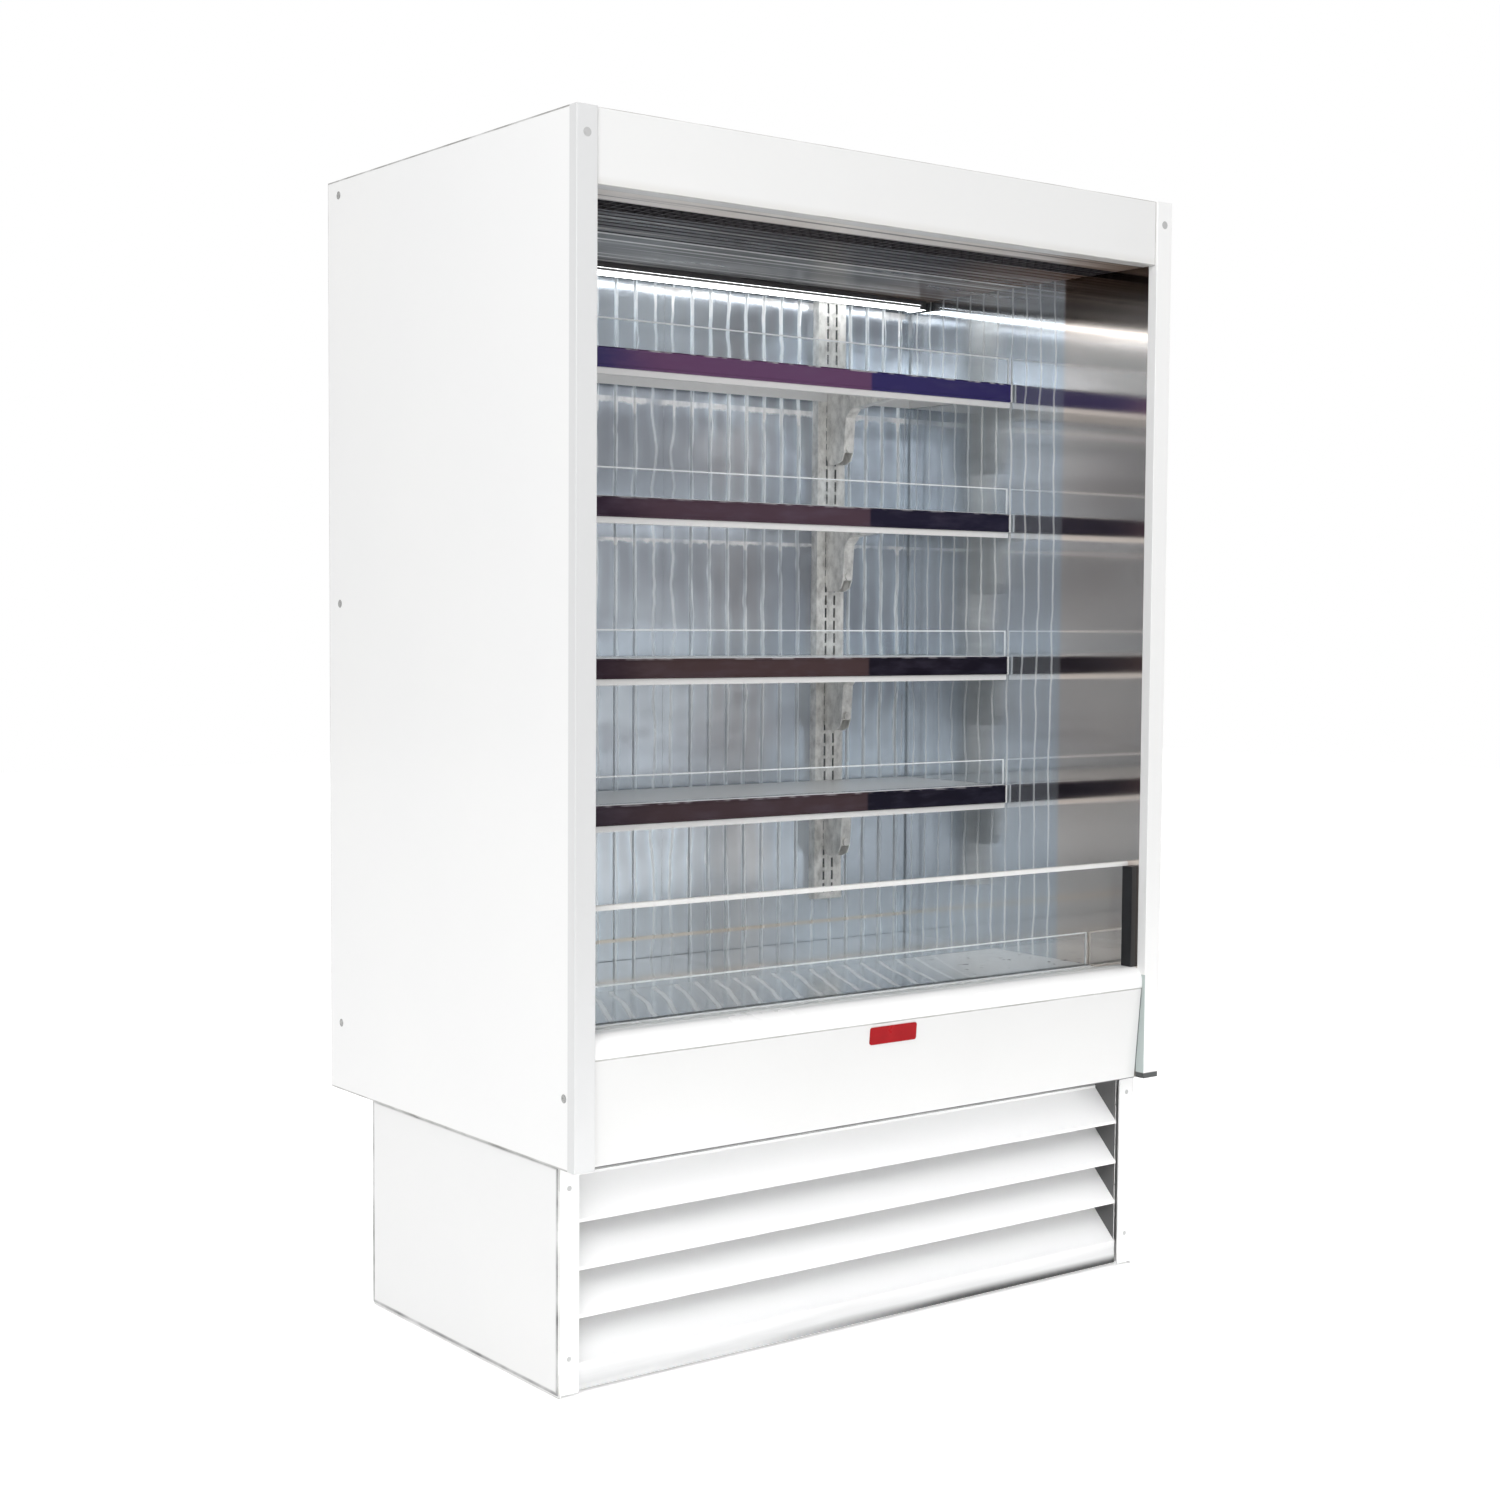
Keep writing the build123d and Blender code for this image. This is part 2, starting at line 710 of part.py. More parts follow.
def shelf_bracket(top_z):
    """Right bracket: two hooked plates joined by a web along their lower edge."""
    under = top_z - sheet
    outline = bracket_outline(under)
    pieces = []
    for side in (-1, 1):
        middle = standard_x + side * slot_column / 2
        x = (middle - bracket_plate / 2, middle + bracket_plate / 2)
        pieces.append(bar(outline, x[0], x[1]))
        hook_x = (middle - hook_thick / 2, middle + hook_thick / 2)
        for drop in (0, lower_hook_slots * slot_pitch):
            neck = under - hook_below_shelf - drop
            behind = standard_front + standard_sheet + fit_gap
            neck_z = (neck, neck + hook_neck)
            pieces.append(block(hook_x, (standard_front - 2 * fit_gap, behind + hook_reach), neck_z))
            pieces.append(block(hook_x, (behind, behind + hook_reach), (neck - hook_drop, neck + hook_neck)))
    web = outline[2:6]
    lifted = [(y + bracket_web, z + bracket_web) for y, z in reversed(web)]
    web_x = (standard_x - slot_column / 2, standard_x + slot_column / 2)
    pieces.append(bar(web + lifted, web_x[0], web_x[1]))
    heel = web[-1]
    bolt_z = heel[1] + bracket_bolt_radius
    bolt = ((standard_x, heel[0] - bracket_bolt_height, bolt_z), (standard_x, heel[0] + bracket_web, bolt_z))
    pieces.append(rod(bracket_bolt_radius, bolt[0], bolt[1]))
    return fuse(pieces)


def price_rail(top_z):
    """Ticket rail on the shelf's front lip, its face set back between rounded edges."""
    half = inner - shelf_end_gap - 2 * sheet - fit_gap
    high = top_z + rail_stand
    low = high - rail_height
    face = shelf_front - rail_thick
    bead = rail_bead
    outline = [(shelf_front, high), (face + bead, high), (face, high - bead), (face, high - 2 * bead),
               (face + rail_recess, high - 2.5 * bead), (face + rail_recess, low + 2.5 * bead),
               (face, low + 2 * bead), (face, low + bead), (face + bead, low), (shelf_front, low)]
    return bar(outline, -half, half)


def shelf_fence(top_z):
    """Clear strip that stands on the front of a shelf."""
    half = inner - shelf_end_gap
    y = shelf_front + fence_setback
    wall = block((-half, half), (y, y + fence_thick), (top_z, top_z + fence_height))
    foot = block((-half, half), (y, y + fence_foot), (top_z, top_z + fence_thick))
    return wall.fuse(foot)


def shelf_lamp(top_z):
    """Lamp strip under the front of a shelf, with a rounded lens."""
    half = inner - shelf_end_gap - shelf_lamp_end
    y = shelf_front + shelf_lamp_setback
    under = top_z - sheet
    low = under - shelf_lamp_height
    bevel = shelf_lamp_bevel
    outline = [(y, under), (y, low + bevel), (y + bevel, low), (y + shelf_lamp_width - bevel, low),
               (y + shelf_lamp_width, low + bevel), (y + shelf_lamp_width, under)]
    return bar(outline, -half, half)


# ---- front: nose, guard, lower panel ----
def guard_groove_y():
    """Front and back of the groove that the guard stands in."""
    return (guard_front - fit_gap, guard_front + guard_thick + fit_gap)


def nose_rail():
    """Rounded rail over the tub's front wall, with a groove for the guard."""
    points = [(tub_front_back, nose_top), (nose_face, nose_top), (nose_face, nose_bottom),
              (tub_front, nose_bottom), (tub_front, tub_front_top), (tub_front_back, tub_front_top)]
    rail = bar(points, -inner, inner)
    rail = rounded_edges(rail, "X", [(nose_face, nose_top)], nose_round)
    rail = rounded_edges(rail, "X", [(nose_face, nose_bottom)], edge_round)
    return rail - block((-inner, inner), guard_groove_y(), (nose_top - guard_groove, nose_top))


def lower_panel():
    """Sheet below the nose, leaning in towards its foot, with a fold at each edge."""
    foot = nose_face + panel_lean
    low = base_height - sheet
    under_nose = nose_bottom - sheet
    points = [(nose_face, nose_bottom), (foot, low), (tub_front + panel_fold, low),
              (tub_front + panel_fold, base_height), (foot + sheet, base_height),
              (nose_face + sheet, under_nose), (tub_front, under_nose), (tub_front, nose_bottom)]
    return bar(points, -inner + fit_gap, inner - fit_gap)


def badge():
    """Plain plate with rounded corners on the leaning panel."""
    lean = math.degrees(math.atan2(panel_lean, nose_bottom - base_height + sheet))
    plate = extrude(RectangleRounded(badge_width, badge_height, badge_corner), amount=badge_thick)
    z = nose_bottom - badge_height / 2 - badge_drop
    y = nose_face + panel_lean * (nose_bottom - z) / (nose_bottom - base_height + sheet)
    return Pos(0, y, z) * Rot(90 + lean, 0, 0) * plate


def guard():
    """Clear riser that stands in the nose rail's groove."""
    half = inner - guard_end_gap
    z = (guard_bottom, guard_bottom + guard_height)
    return block((-half, half), (guard_front, guard_front + guard_thick), z)


def guard_rail():
    """Rounded cap on the guard's upper edge."""
    middle = guard_front + guard_thick / 2
    y = (middle - guard_rail_width / 2, middle + guard_rail_width / 2)
    z = (guard_rail_bottom, guard_rail_bottom + guard_rail_height)
    half = inner - fit_gap
    cap = block((-half, half), y, z)
    cap = rounded_edges(cap, "X", [(y[0], z[1]), (y[1], z[1])], guard_rail_round)
    groove = block((-half, half), guard_groove_y(), (z[0], z[0] + guard_rail_cover + fit_gap))
    return cap - groove


def guard_bracket():
    """Right end bracket: a thick stop in front of the guard and a thin cheek past its end."""
    z = (nose_top, guard_rail_bottom)
    stop_y = (guard_front - fit_gap - guard_bracket_depth, guard_front - fit_gap)
    stop = block((inner - guard_bracket_thick, inner), stop_y, z)
    cheek_x = (inner - guard_end_gap + fit_gap, inner)
    cheek = block(cheek_x, (guard_front - fit_gap, guard_front + guard_thick + guard_cheek_past), z)
    return stop.fuse(cheek)


# ---- deck ----
def deck_pan(y0, y1):
    """Removable deck pan: flat top with turned-down edges."""
    half = inner - deck_end_gap
    low = deck_height - deck_edge
    pan = block((-half, half), (y0, y1), (low, deck_height))
    pan -= block((-half + sheet, half - sheet), (y0 + sheet, y1 - sheet), (low, deck_height - sheet))
    return rounded_edges(pan, "X", [(y0, deck_height), (y1, deck_height)], sheet * nearly)


def deck_rail():
    """Flat rail from end to end that the two deck pans meet on."""
    y = (deck_middle - deck_rail_width / 2, deck_middle + deck_rail_width / 2)
    return block((-inner, inner), y, (ledge_top - deck_rail_thick, ledge_top))


def deck_fence():
    """Clear strip along the deck's front, on the return grille."""
    y = deck_front - fit_gap - deck_fence_thick - sheet
    half = inner - shelf_end_gap
    wall = block((-half, half), (y, y + deck_fence_thick), (grille_top, grille_top + deck_fence_height))
    foot = block((-half, half), (y - deck_fence_foot, y), (grille_top, grille_top + deck_fence_thick))
    return wall.fuse(foot)


def return_grille():
    """Slotted plate that the return air is drawn through."""
    rear_edge = deck_front - fit_gap
    plate = block((-inner, inner), (tub_front_back, rear_edge), (grille_top - grille_thick, grille_top))
    slots = []
    columns = int((2 * inner - grille_slot_pitch) / grille_slot_pitch)
    for row in range(grille_rows):
        y = tub_front_back + (row + 0.75) * grille_row_pitch
        for number in range(columns):
            x = (number - (columns - 1) / 2) * grille_slot_pitch
            slot_x = (x - grille_slot_length / 2, x + grille_slot_length / 2)
            slot_y = (y - grille_slot_width / 2, y + grille_slot_width / 2)
            slots.append(block(slot_x, slot_y, (grille_top - grille_thick - past, grille_top + past)))
    return plate.cut(*slots)


def fan_bulkhead():
    """Upright sheet under the deck: carries the fans, the deck's front and the grille's rear."""
    y = bulkhead_front
    wall = block((-inner, inner), (y, y + sheet), (tub_floor, grille_top - grille_thick))
    shelf = block((-inner, inner), (y, y + bulkhead_ledge), (ledge_top - sheet, ledge_top))
    step_z = (grille_top - grille_thick - sheet, grille_top - grille_thick)
    step = block((-inner, inner), (y - bulkhead_step, y + sheet), step_z)
    sheet_metal = fuse([wall, shelf, step])
    for side in (-1, 1):
        x = side * evap_fan_x
        start = (x, y - past, evap_fan_height)
        sheet_metal -= rod(evap_fan_radius + fan_tip_gap, start, (x, y + sheet + past, evap_fan_height))
    return sheet_metal


# ---- fans and coils ----
def axial_fan(radius, hub_radius, depth, blades, centre):
    """Fan with pitched blades and a shaft bore along Y."""
    chord = radius * blade_chord
    tip = math.sqrt(radius ** 2 - (chord / 2) ** 2)
    root = hub_radius / 2
    pieces = [Rot(90, 0, 0) * Cylinder(hub_radius, depth)]
    pitch = math.degrees(math.asin(min(nearly, depth * nearly / chord)))
    for number in range(blades):
        turn = 360 / blades * number
        blade = Pos(0, 0, (root + tip) / 2) * Rot(0, 0, pitch) * Box(chord, blade_thick, tip - root)
        blade = Rot(0, turn, 0) * blade
        pieces.append(blade)
    fan = fuse(pieces)
    bore = Rot(90, 0, 0) * Cylinder(shaft_radius + shaft_play, depth * 2)
    return Pos(*centre) * (fan - bore)


def motor(radius, length, hub_depth, x, y, z):
    """Motor behind a fan, with a shaft that reaches through the hub."""
    face = y + motor_standoff
    case = rod(radius, (x, face, z), (x, face + length, z))
    case = fillet(case.edges().filter_by(GeomType.CIRCLE), edge_round * 2)
    shaft = rod(shaft_radius, (x, y - hub_depth / 2, z), (x, face + length / 2, z))
    return case.fuse(shaft)


def evaporator_motor():
    """Right evaporator motor on two arms that stand off the bulkhead."""
    x, y, z = evap_fan_x, bulkhead_front, evap_fan_height
    pieces = [motor(evap_motor_radius, evap_motor_length, evap_fan_depth, x, y, z)]
    ring = evap_fan_radius + fan_tip_gap + arm_past
    arm_y = y + motor_standoff + 3 * arm_radius
    for side in (-1, 1):
        foot_x = x + side * ring
        pieces.append(rod(arm_radius, (x, arm_y, z), (foot_x, arm_y, z)))
        pieces.append(rod(arm_foot_radius, (foot_x, y + sheet, z), (foot_x, arm_y + arm_foot_radius, z)))
    return fuse(pieces)


def return_bends(x, y, z0, z1, outward, count):
    """Half-round bends that join a coil's tubes in pairs, up one end."""
    bends = []
    step = (z1 - z0) / count
    bend_radius = step / 4
    tube_radius = bend_radius * tube_part
    half = bend_radius + tube_radius + past
    keep_x = sorted((x - outward * coil_sheet / 2, x + outward * half))
    for number in range(count):
        z = z0 + (number + 0.5) * step
        ring = Pos(x, y, z) * Rot(90, 0, 0) * Torus(bend_radius, tube_radius)
        bends.append(ring & block(keep_x, (y - half, y + half), (z - half, z + half)))
    return bends


def coil(x0, x1, y0, y1, z0, z1, bends):
    """A finned block between end plates, with return bends at both ends."""
    fins_y = (y0 + fin_inset, y1 - fin_inset)
    fins_z = (z0 + fin_inset, z1 - fin_inset)
    hollow_y = (fins_y[0] + fin_skin, fins_y[1] - fin_skin)
    hollow_z = (fins_z[0] + fin_skin, fins_z[1] - fin_skin)
    fins = block((x0, x1), fins_y, fins_z) - block((x0 + fin_skin, x1 - fin_skin), hollow_y, hollow_z)
    pieces = [fins]
    for x in (x0, x1 - coil_sheet):
        pieces.append(block((x, x + coil_sheet), (y0, y1), (z0, z1)))
    for y in (y0 + (y1 - y0) / 4, y0 + (y1 - y0) * 3 / 4):
        pieces += return_bends(x0, y, z0, z1, -1, bends)
        pieces += return_bends(x1, y, z0, z1, 1, bends)
    return pieces


def evaporator():
    """Evaporator on feet under the deck."""
    half = evap_length / 2
    z0 = tub_floor + evap_foot
    y = (evap_front, evap_front + evap_depth)
    pieces = coil(-half, half, y[0], y[1], z0, z0 + evap_block, evap_bends)
    for x in (-half, half - evap_foot_width):
        pieces.append(block((x, x + evap_foot_width), y, (tub_floor, z0 + 2 * fin_inset)))
    return fuse(pieces)


def condenser():
    """Condenser on the machine tray, behind the louvres."""
    x = (condenser_x - condenser_length / 2, condenser_x + condenser_length / 2)
    y = (condenser_front, condenser_front + condenser_depth)
    top = tray_top + condenser_height
    return fuse(coil(x[0], x[1], y[0], y[1], tray_top, top, condenser_bends))


def fan_centre():
    """Middle of the condenser fan."""
    y = condenser_front + condenser_depth + shroud_depth
    return (condenser_x, y, tray_top + condenser_height / 2)


def condenser_shroud():
    """Sheet hood on the back of the condenser with a round fan opening."""
    x = (condenser_x - condenser_length / 2, condenser_x + condenser_length / 2)
    y = (condenser_front + condenser_depth, condenser_front + condenser_depth + shroud_depth)
    z = (tray_top, tray_top + condenser_height)
    hood = block(x, y, z)
    hood -= block((x[0] + sheet, x[1] - sheet), (y[0], y[1] - sheet), (z[0] + sheet, z[1] - sheet))
    cx, cy, cz = fan_centre()
    return hood - rod(condenser_fan_radius + fan_tip_gap, (cx, cy - 2 * sheet, cz), (cx, cy + past, cz))


def condenser_motor():
    """Condenser motor on a pedestal that stands on the tray."""
    x, y, z = fan_centre()
    y += condenser_fan_behind
    standing = motor(condenser_motor_radius, condenser_motor_length, condenser_fan_depth, x, y, z)
    leg_front = y + motor_standoff + condenser_motor_length / 3
    leg_y = (leg_front, leg_front + pedestal_sheet)
    half = pedestal_width / 2
    leg = block((x - half, x + half), leg_y, (tray_top, z))
    foot_y = (leg_y[0], leg_y[1] + pedestal_foot)
    foot = block((x - half, x + half), foot_y, (tray_top, tray_top + pedestal_sheet))
    return fuse([standing, leg, foot])


def domed_drum(inward):
    """A drum with a domed top and a rounded foot, this far inside the compressor's shell."""
    drum = Cylinder(compressor_radius - inward, compressor_height - 2 * inward)
    circles = drum.edges().filter_by(GeomType.CIRCLE).sort_by(Axis.Z)
    drum = fillet(circles[-1:], compressor_dome - inward)
    circles = drum.edges().filter_by(GeomType.CIRCLE).sort_by(Axis.Z)
    return fillet(circles[:1], compressor_dome / 2 - inward)


def compressor():
    """Welded steel shell on a foot plate with four rubber feet, with a terminal cover."""
    low = tray_top + compressor_foot
    middle = Pos(0, 0, low + compressor_height / 2)
    shell = middle * domed_drum(0.0)
    weld = middle * Cylinder(compressor_radius + weld_height, weld_width)
    half = compressor_radius + compressor_plate_past
    plate_z = (low, low + compressor_plate)
    pieces = [shell, weld, block((-half, half), (-half, half), plate_z)]
    foot = half - 1.5 * compressor_foot_radius
    for x in (-foot, foot):
        for y in (-foot, foot):
            pieces.append(rod(compressor_foot_radius, (x, y, tray_top), (x, y, low)))
    cover_y = (-compressor_radius - terminal_depth, -compressor_radius + terminal_depth)
    cover_z = (low + compressor_height / 4, low + compressor_height / 4 + terminal_height)
    pieces.append(block((-terminal_width / 2, terminal_width / 2), cover_y, cover_z))
    whole = fuse(pieces) - middle * domed_drum(compressor_wall)
    return Pos(compressor_x, compressor_y, 0) * whole


def tube_run(points, bend=pipe_bend):
    """A pipe along straight runs joined by arcs."""
    path = FilletPolyline(*points, radius=bend)
    profile = Plane(origin=path @ 0, z_dir=path % 0) * Circle(pipe_radius)
    return sweep(profile, path=path)


def refrigerant_pipes():
    """Discharge pipe to the condenser and suction pipe from the evaporator."""
    shell_top = tray_top + compressor_foot + compressor_height
    start_z = shell_top + fit_gap
    condenser_end = condenser_x + condenser_length / 2
    coil_y = condenser_front + condenser_depth / 2
    coil_z = tray_top + condenser_height - pipe_radius * 2
    x, y = compressor_x - pipe_offset, compressor_y
    discharge = [(x, y, start_z), (x, y, coil_z), (x, coil_y, coil_z), (condenser_end, coil_y, coil_z)]
    hole_x, hole_y = pipe_spot()
    evap_y = evap_front + evap_depth / 2
    evap_z = tub_floor + evap_foot + evap_block - pipe_radius * 2
    x = compressor_x + pipe_offset
    suction = [(x, y, start_z), (x, y, suction_height), (hole_x, hole_y, suction_height),
               (hole_x, hole_y, evap_z), (hole_x, evap_y, evap_z), (evap_length / 2, evap_y, evap_z)]
    return [tube_run(discharge), tube_run(suction)]


def condensate_pan():
    """Open pan on the tray that catches the defrost water."""
    z = (tray_top, tray_top + drain_pan_height)
    outside = block(drain_pan_x, drain_pan_y, z)
    wall = drain_pan_wall
    hollow_x = (drain_pan_x[0] + wall, drain_pan_x[1] - wall)
    hollow_y = (drain_pan_y[0] + wall, drain_pan_y[1] - wall)
    return outside - block(hollow_x, hollow_y, (z[0] + wall, z[1]))


# ---- controls ----
def rocker_centre():
    """Axis of the rocker switch."""
    return (rocker_x, box_front + rocker_sunk, knob_z)


def control_box():
    """Sheet box on the tray with a window for the rocker and a bore for the knob's shaft."""
    y = (box_front, box_front + box_depth)
    z = (tray_top, tray_top + box_height)
    shell = block(box_x, y, z)
    shell = rounded_edges(shell, "X", [(y[0], z[1]), (y[1], z[1])], edge_round)
    shell -= block((box_x[0] + sheet, box_x[1] - sheet), (y[0] + sheet, y[1] - sheet), (z[0], z[1] - sheet))
    half_window = math.sqrt(rocker_radius ** 2 - (rocker_sunk - sheet) ** 2) + rocker_play
    window_x = (rocker_x - rocker_width / 2 - rocker_play, rocker_x + rocker_width / 2 + rocker_play)
    window_z = (knob_z - half_window, knob_z + half_window)
    shell -= block(window_x, (y[0] - past, y[0] + sheet + past), window_z)
    start = (knob_x, y[0] - past, knob_z)
    return shell - rod(shaft_radius + shaft_play, start, (knob_x, y[0] + sheet + past, knob_z))


def power_switch():
    """Rocker on a hidden pivot: round behind, with a V-shaped face, at rest tilted to on."""
    drum = Rot(0, 90, 0) * Cylinder(rocker_radius, rocker_width)
    depth = rocker_radius
    faces = []
    for side in (-1, 1):
        cutter = Pos(0, rocker_dish - rocker_radius - depth / 2, side * depth)
        cutter = cutter * Box(rocker_width + past, depth, 2 * depth)
        faces.append(Rot(side * rocker_tilt, 0, 0) * cutter)
    rocker = Rot(rocker_tilt, 0, 0) * drum.cut(*faces)
    return Pos(*rocker_centre()) * rocker


def thermostat_knob():
    """Round knob with a pointer ridge and a shaft through the box's front."""
    face = box_front - fit_gap
    skirt = rod(knob_radius, (knob_x, face, knob_z), (knob_x, face - knob_length, knob_z))
    skirt = fillet(skirt.edges().filter_by(GeomType.CIRCLE).sort_by(Axis.Y)[:1], edge_round)
    shaft = rod(shaft_radius, (knob_x, box_front + 4 * sheet, knob_z), (knob_x, face - sheet, knob_z))
    ridge_x = (knob_x - knob_ridge, knob_x + knob_ridge)
    ridge_y = (face - knob_length - knob_ridge, face - knob_length + knob_ridge)
    ridge = block(ridge_x, ridge_y, (knob_z, knob_z + knob_radius - edge_round))
    return fuse([skirt, shaft, ridge])


# ---- base ----
def frame_side():
    """Right side of the base frame: uprights with a foot rail and a head rail."""
    outer = frame_half
    x_leg = (outer - frame_sheet, outer)
    x_foot = (outer - frame_leg, outer)
    pieces = [block(x_leg, (base_front, base_rear), (0, frame_leg))]
    pieces.append(block(x_foot, (base_front + frame_leg, base_rear), (0, frame_sheet)))
    pieces.append(block(x_leg, (base_front, base_rear), (base_height - frame_leg, base_height)))
    head_z = (base_height - frame_sheet, base_height)
    pieces.append(block(x_foot, (base_front + frame_leg, base_rear), head_z))
    face_y = (base_front, base_front + frame_sheet)
    front_face = block((upright_inner, outer), face_y, (skirt_floor_gap, base_height))
    front_face = rounded_edges(front_face, "Z", [(outer, base_front)], frame_sheet * nearly)
    pieces.append(front_face)
    pieces.append(block(x_leg, (base_front + frame_sheet, base_front + frame_leg), (0, base_height)))
    pieces.append(block(x_foot, (base_rear - frame_sheet, base_rear), (0, base_height)))
    pieces.append(block(x_leg, (base_rear - frame_leg, base_rear), (0, base_height)))
    return pieces


def base_frame():
    """Welded base frame with its machine tray and cross rails."""
    outer = frame_half
    sides = frame_side()
    pieces = sides + [other_side(piece) for piece in sides]
    rail_front = louvre_front + front_rail_space
    tray_y = (rail_front, base_rear)
    pieces.append(block((-outer, outer), tray_y, (tray_height, tray_top)))
    pieces.append(block((-outer, outer), (rail_front, rail_front + frame_sheet), (0, tray_top)))
    pieces.append(block((-outer, outer), (rail_front, rail_front + frame_leg), (0, frame_sheet)))
    pieces.append(block((-outer, outer), (base_rear - frame_sheet, base_rear), (0, tray_top)))
    pieces.append(block((-outer, outer), (base_rear - frame_leg, base_rear), (0, frame_sheet)))
    head_z = (base_height - frame_leg, base_height)
    pieces.append(block((-outer, outer), (base_rear - frame_sheet, base_rear), head_z))
    head_front = louvre_back + head_rail_space
    pieces.append(block((-outer, outer), (head_front, head_front + frame_sheet), head_z))
    cap_z = (base_height - frame_sheet, base_height)
    pieces.append(block((-outer, outer), (head_front, head_front + frame_leg), cap_z))
    frame = fuse(pieces)
    for x, z in upright_screws():
        start = (x, base_front - past, z)
        frame -= rod(small_screw_radius + screw_play, start, (x, base_front + screw_depth, z))
    return frame


def upright_screws():
    """Where the screws sit in the front uprights, (x, z)."""
    spots = []
    for side in (-1, 1):
        for z in (upright_screw_rise, base_height - upright_screw_drop):
            spots.append((side * (upright_inner + upright_width / 2), z))
    return spots


def side_panel():
    """Right side sheet of the base."""
    z = (skirt_floor_gap, base_height)
    return block((frame_half, base_half), (base_front + frame_sheet, base_rear), z)


def base_back_panel():
    """Rear sheet of the base with vent slots and the supply inlet."""
    y = (base_rear, base_rear + side_sheet)
    panel = block((-base_half, base_half), y, (skirt_floor_gap, base_height))
    cuts = []
    for number in range(vent_columns):
        for row in range(vent_rows):
            x = (number - (vent_columns - 1) / 2) * vent_column_pitch
            z = base_height / 2 + (row - (vent_rows - 1) / 2) * vent_pitch
            vent_x = (x - vent_length / 2, x + vent_length / 2)
            cuts.append(block(vent_x, (y[0] - past, y[1] + past), (z - vent_height / 2, z + vent_height / 2)))
    inlet_x = base_half - inlet_inset
    cuts.append(rod(inlet_radius, (inlet_x, y[0] - past, inlet_height), (inlet_x, y[1] + past, inlet_height)))
    return panel.cut(*cuts)


def louvre_outline(fold_z, kick):
    """Side view of one blade, (y, z): slope with a lip, or a kick face below it."""
    low = fold_z - louvre_lip if not kick else kick_floor_gap
    head = fold_z + louvre_slope
    inside = louvre_sheet
    lower = louvre_sheet * (math.sqrt(2) - 1)
    return [(louvre_back, head + louvre_lip), (louvre_back, head),
            (louvre_front, fold_z), (louvre_front, low),
            (louvre_front + inside, low), (louvre_front + inside, fold_z - lower),
            (louvre_back + inside, head - lower), (louvre_back + inside, head + louvre_lip)]


def louvre_grille():
    """Removable front grille: sloping blades, a kick face, a head bar and two end plates."""
    half = upright_inner - louvre_gap
    top_z = base_height - louvre_top_gap
    pieces = []
    for number in range(louvre_blades):
        fold = kick_height + number * louvre_pitch
        outline = louvre_outline(fold, number == 0)
        highest = min(top_z, outline[0][1])
        outline[0] = (outline[0][0], highest)
        outline[-1] = (outline[-1][0], highest)
        pieces.append(bar(outline, -half, half))
    for side in (-1, 1):
        plate_x = sorted((side * half, side * (half - louvre_sheet)))
        plate_y = (louvre_front + louvre_sheet, louvre_back + louvre_sheet)
        pieces.append(block(plate_x, plate_y, (tray_top + fit_gap, top_z)))
    return fuse(pieces)


# ---- write every node ----
right_end = end_panel()
save("right_end_panel", right_end)
save("left_end_panel", other_side(right_end))
right_liner = end_liner()
save("end_liners", other_side(right_liner), right_liner)
right_post = front_post()
save("front_posts", other_side(right_post), right_post)
save("back_wall", back())
save("top_wall", top())
save("tub", tub())

right_back = back_panel()
save("back_panels", other_side(right_back), right_back)
right_standard = shelf_standard()
save("shelf_standards", other_side(right_standard), right_standard)
save("canopy_fascia", fascia())
save("canopy_strip", canopy_strip())
save("discharge_honeycomb", honeycomb())
save("canopy_ceiling", canopy_ceiling())
save("canopy_lamp", canopy_lamp())

for tier in range(len(shelf_places)):
    name = f"shelf_{tier + 1}"
    level = shelf_top(tier)
    save(f"{name}_pan", shelf_pan(level))
    right_bracket = shelf_bracket(level)
    save(f"{name}_brackets", other_side(right_bracket), right_bracket)
    save(f"{name}_price_rail", price_rail(level))
    save(f"{name}_fence", shelf_fence(level))
    if tier < lit_shelves:
        save(f"{name}_lamp", shelf_lamp(level))

save("nose_rail", nose_rail())
save("lower_front_panel", lower_panel())
save("badge_plate", badge())
save("riser_guard", guard())
save("riser_rail", guard_rail())
right_guard_bracket = guard_bracket()
save("riser_end_brackets", other_side(right_guard_bracket), right_guard_bracket)
save("deck_pan_front", deck_pan(deck_front, deck_middle - deck_joint / 2))
save("deck_pan_rear", deck_pan(deck_middle + deck_joint / 2, deck_rear))
save("deck_fence", deck_fence())
save("return_grille", return_grille())
save("fan_bulkhead", fan_bulkhead(), deck_rail())

save("evaporator_coil", evaporator())
for side, side_name in ((-1, "left"), (1, "right")):
    centre = (side * evap_fan_x, bulkhead_front, evap_fan_height)
    fan = axial_fan(evap_fan_radius, evap_fan_radius * evap_hub_part, evap_fan_depth, evap_blades, centre)
    save(f"evaporator_fan_{side_name}", fan)
right_motor = evaporator_motor()
save("fan_motors", other_side(right_motor), right_motor, condenser_motor())
save("condenser_coil", condenser())
save("condenser_shroud", condenser_shroud())
fan_x, fan_y, fan_z = fan_centre()
centre = (fan_x, fan_y + condenser_fan_behind, fan_z)
fan = axial_fan(condenser_fan_radius, condenser_fan_hub, condenser_fan_depth, condenser_blades, centre)
save("condenser_fan", fan)
save("compressor", compressor())
save("refrigerant_pipes", *refrigerant_pipes())
save("condensate_pan", condensate_pan())
save("control_box", control_box())
save("power_switch", power_switch())
save("thermostat_knob", thermostat_knob())

save("base_frame", base_frame())
right_side_panel = side_panel()
save("base_panels", other_side(right_side_panel), right_side_panel, base_back_panel())
save("louvre_grille", louvre_grille())

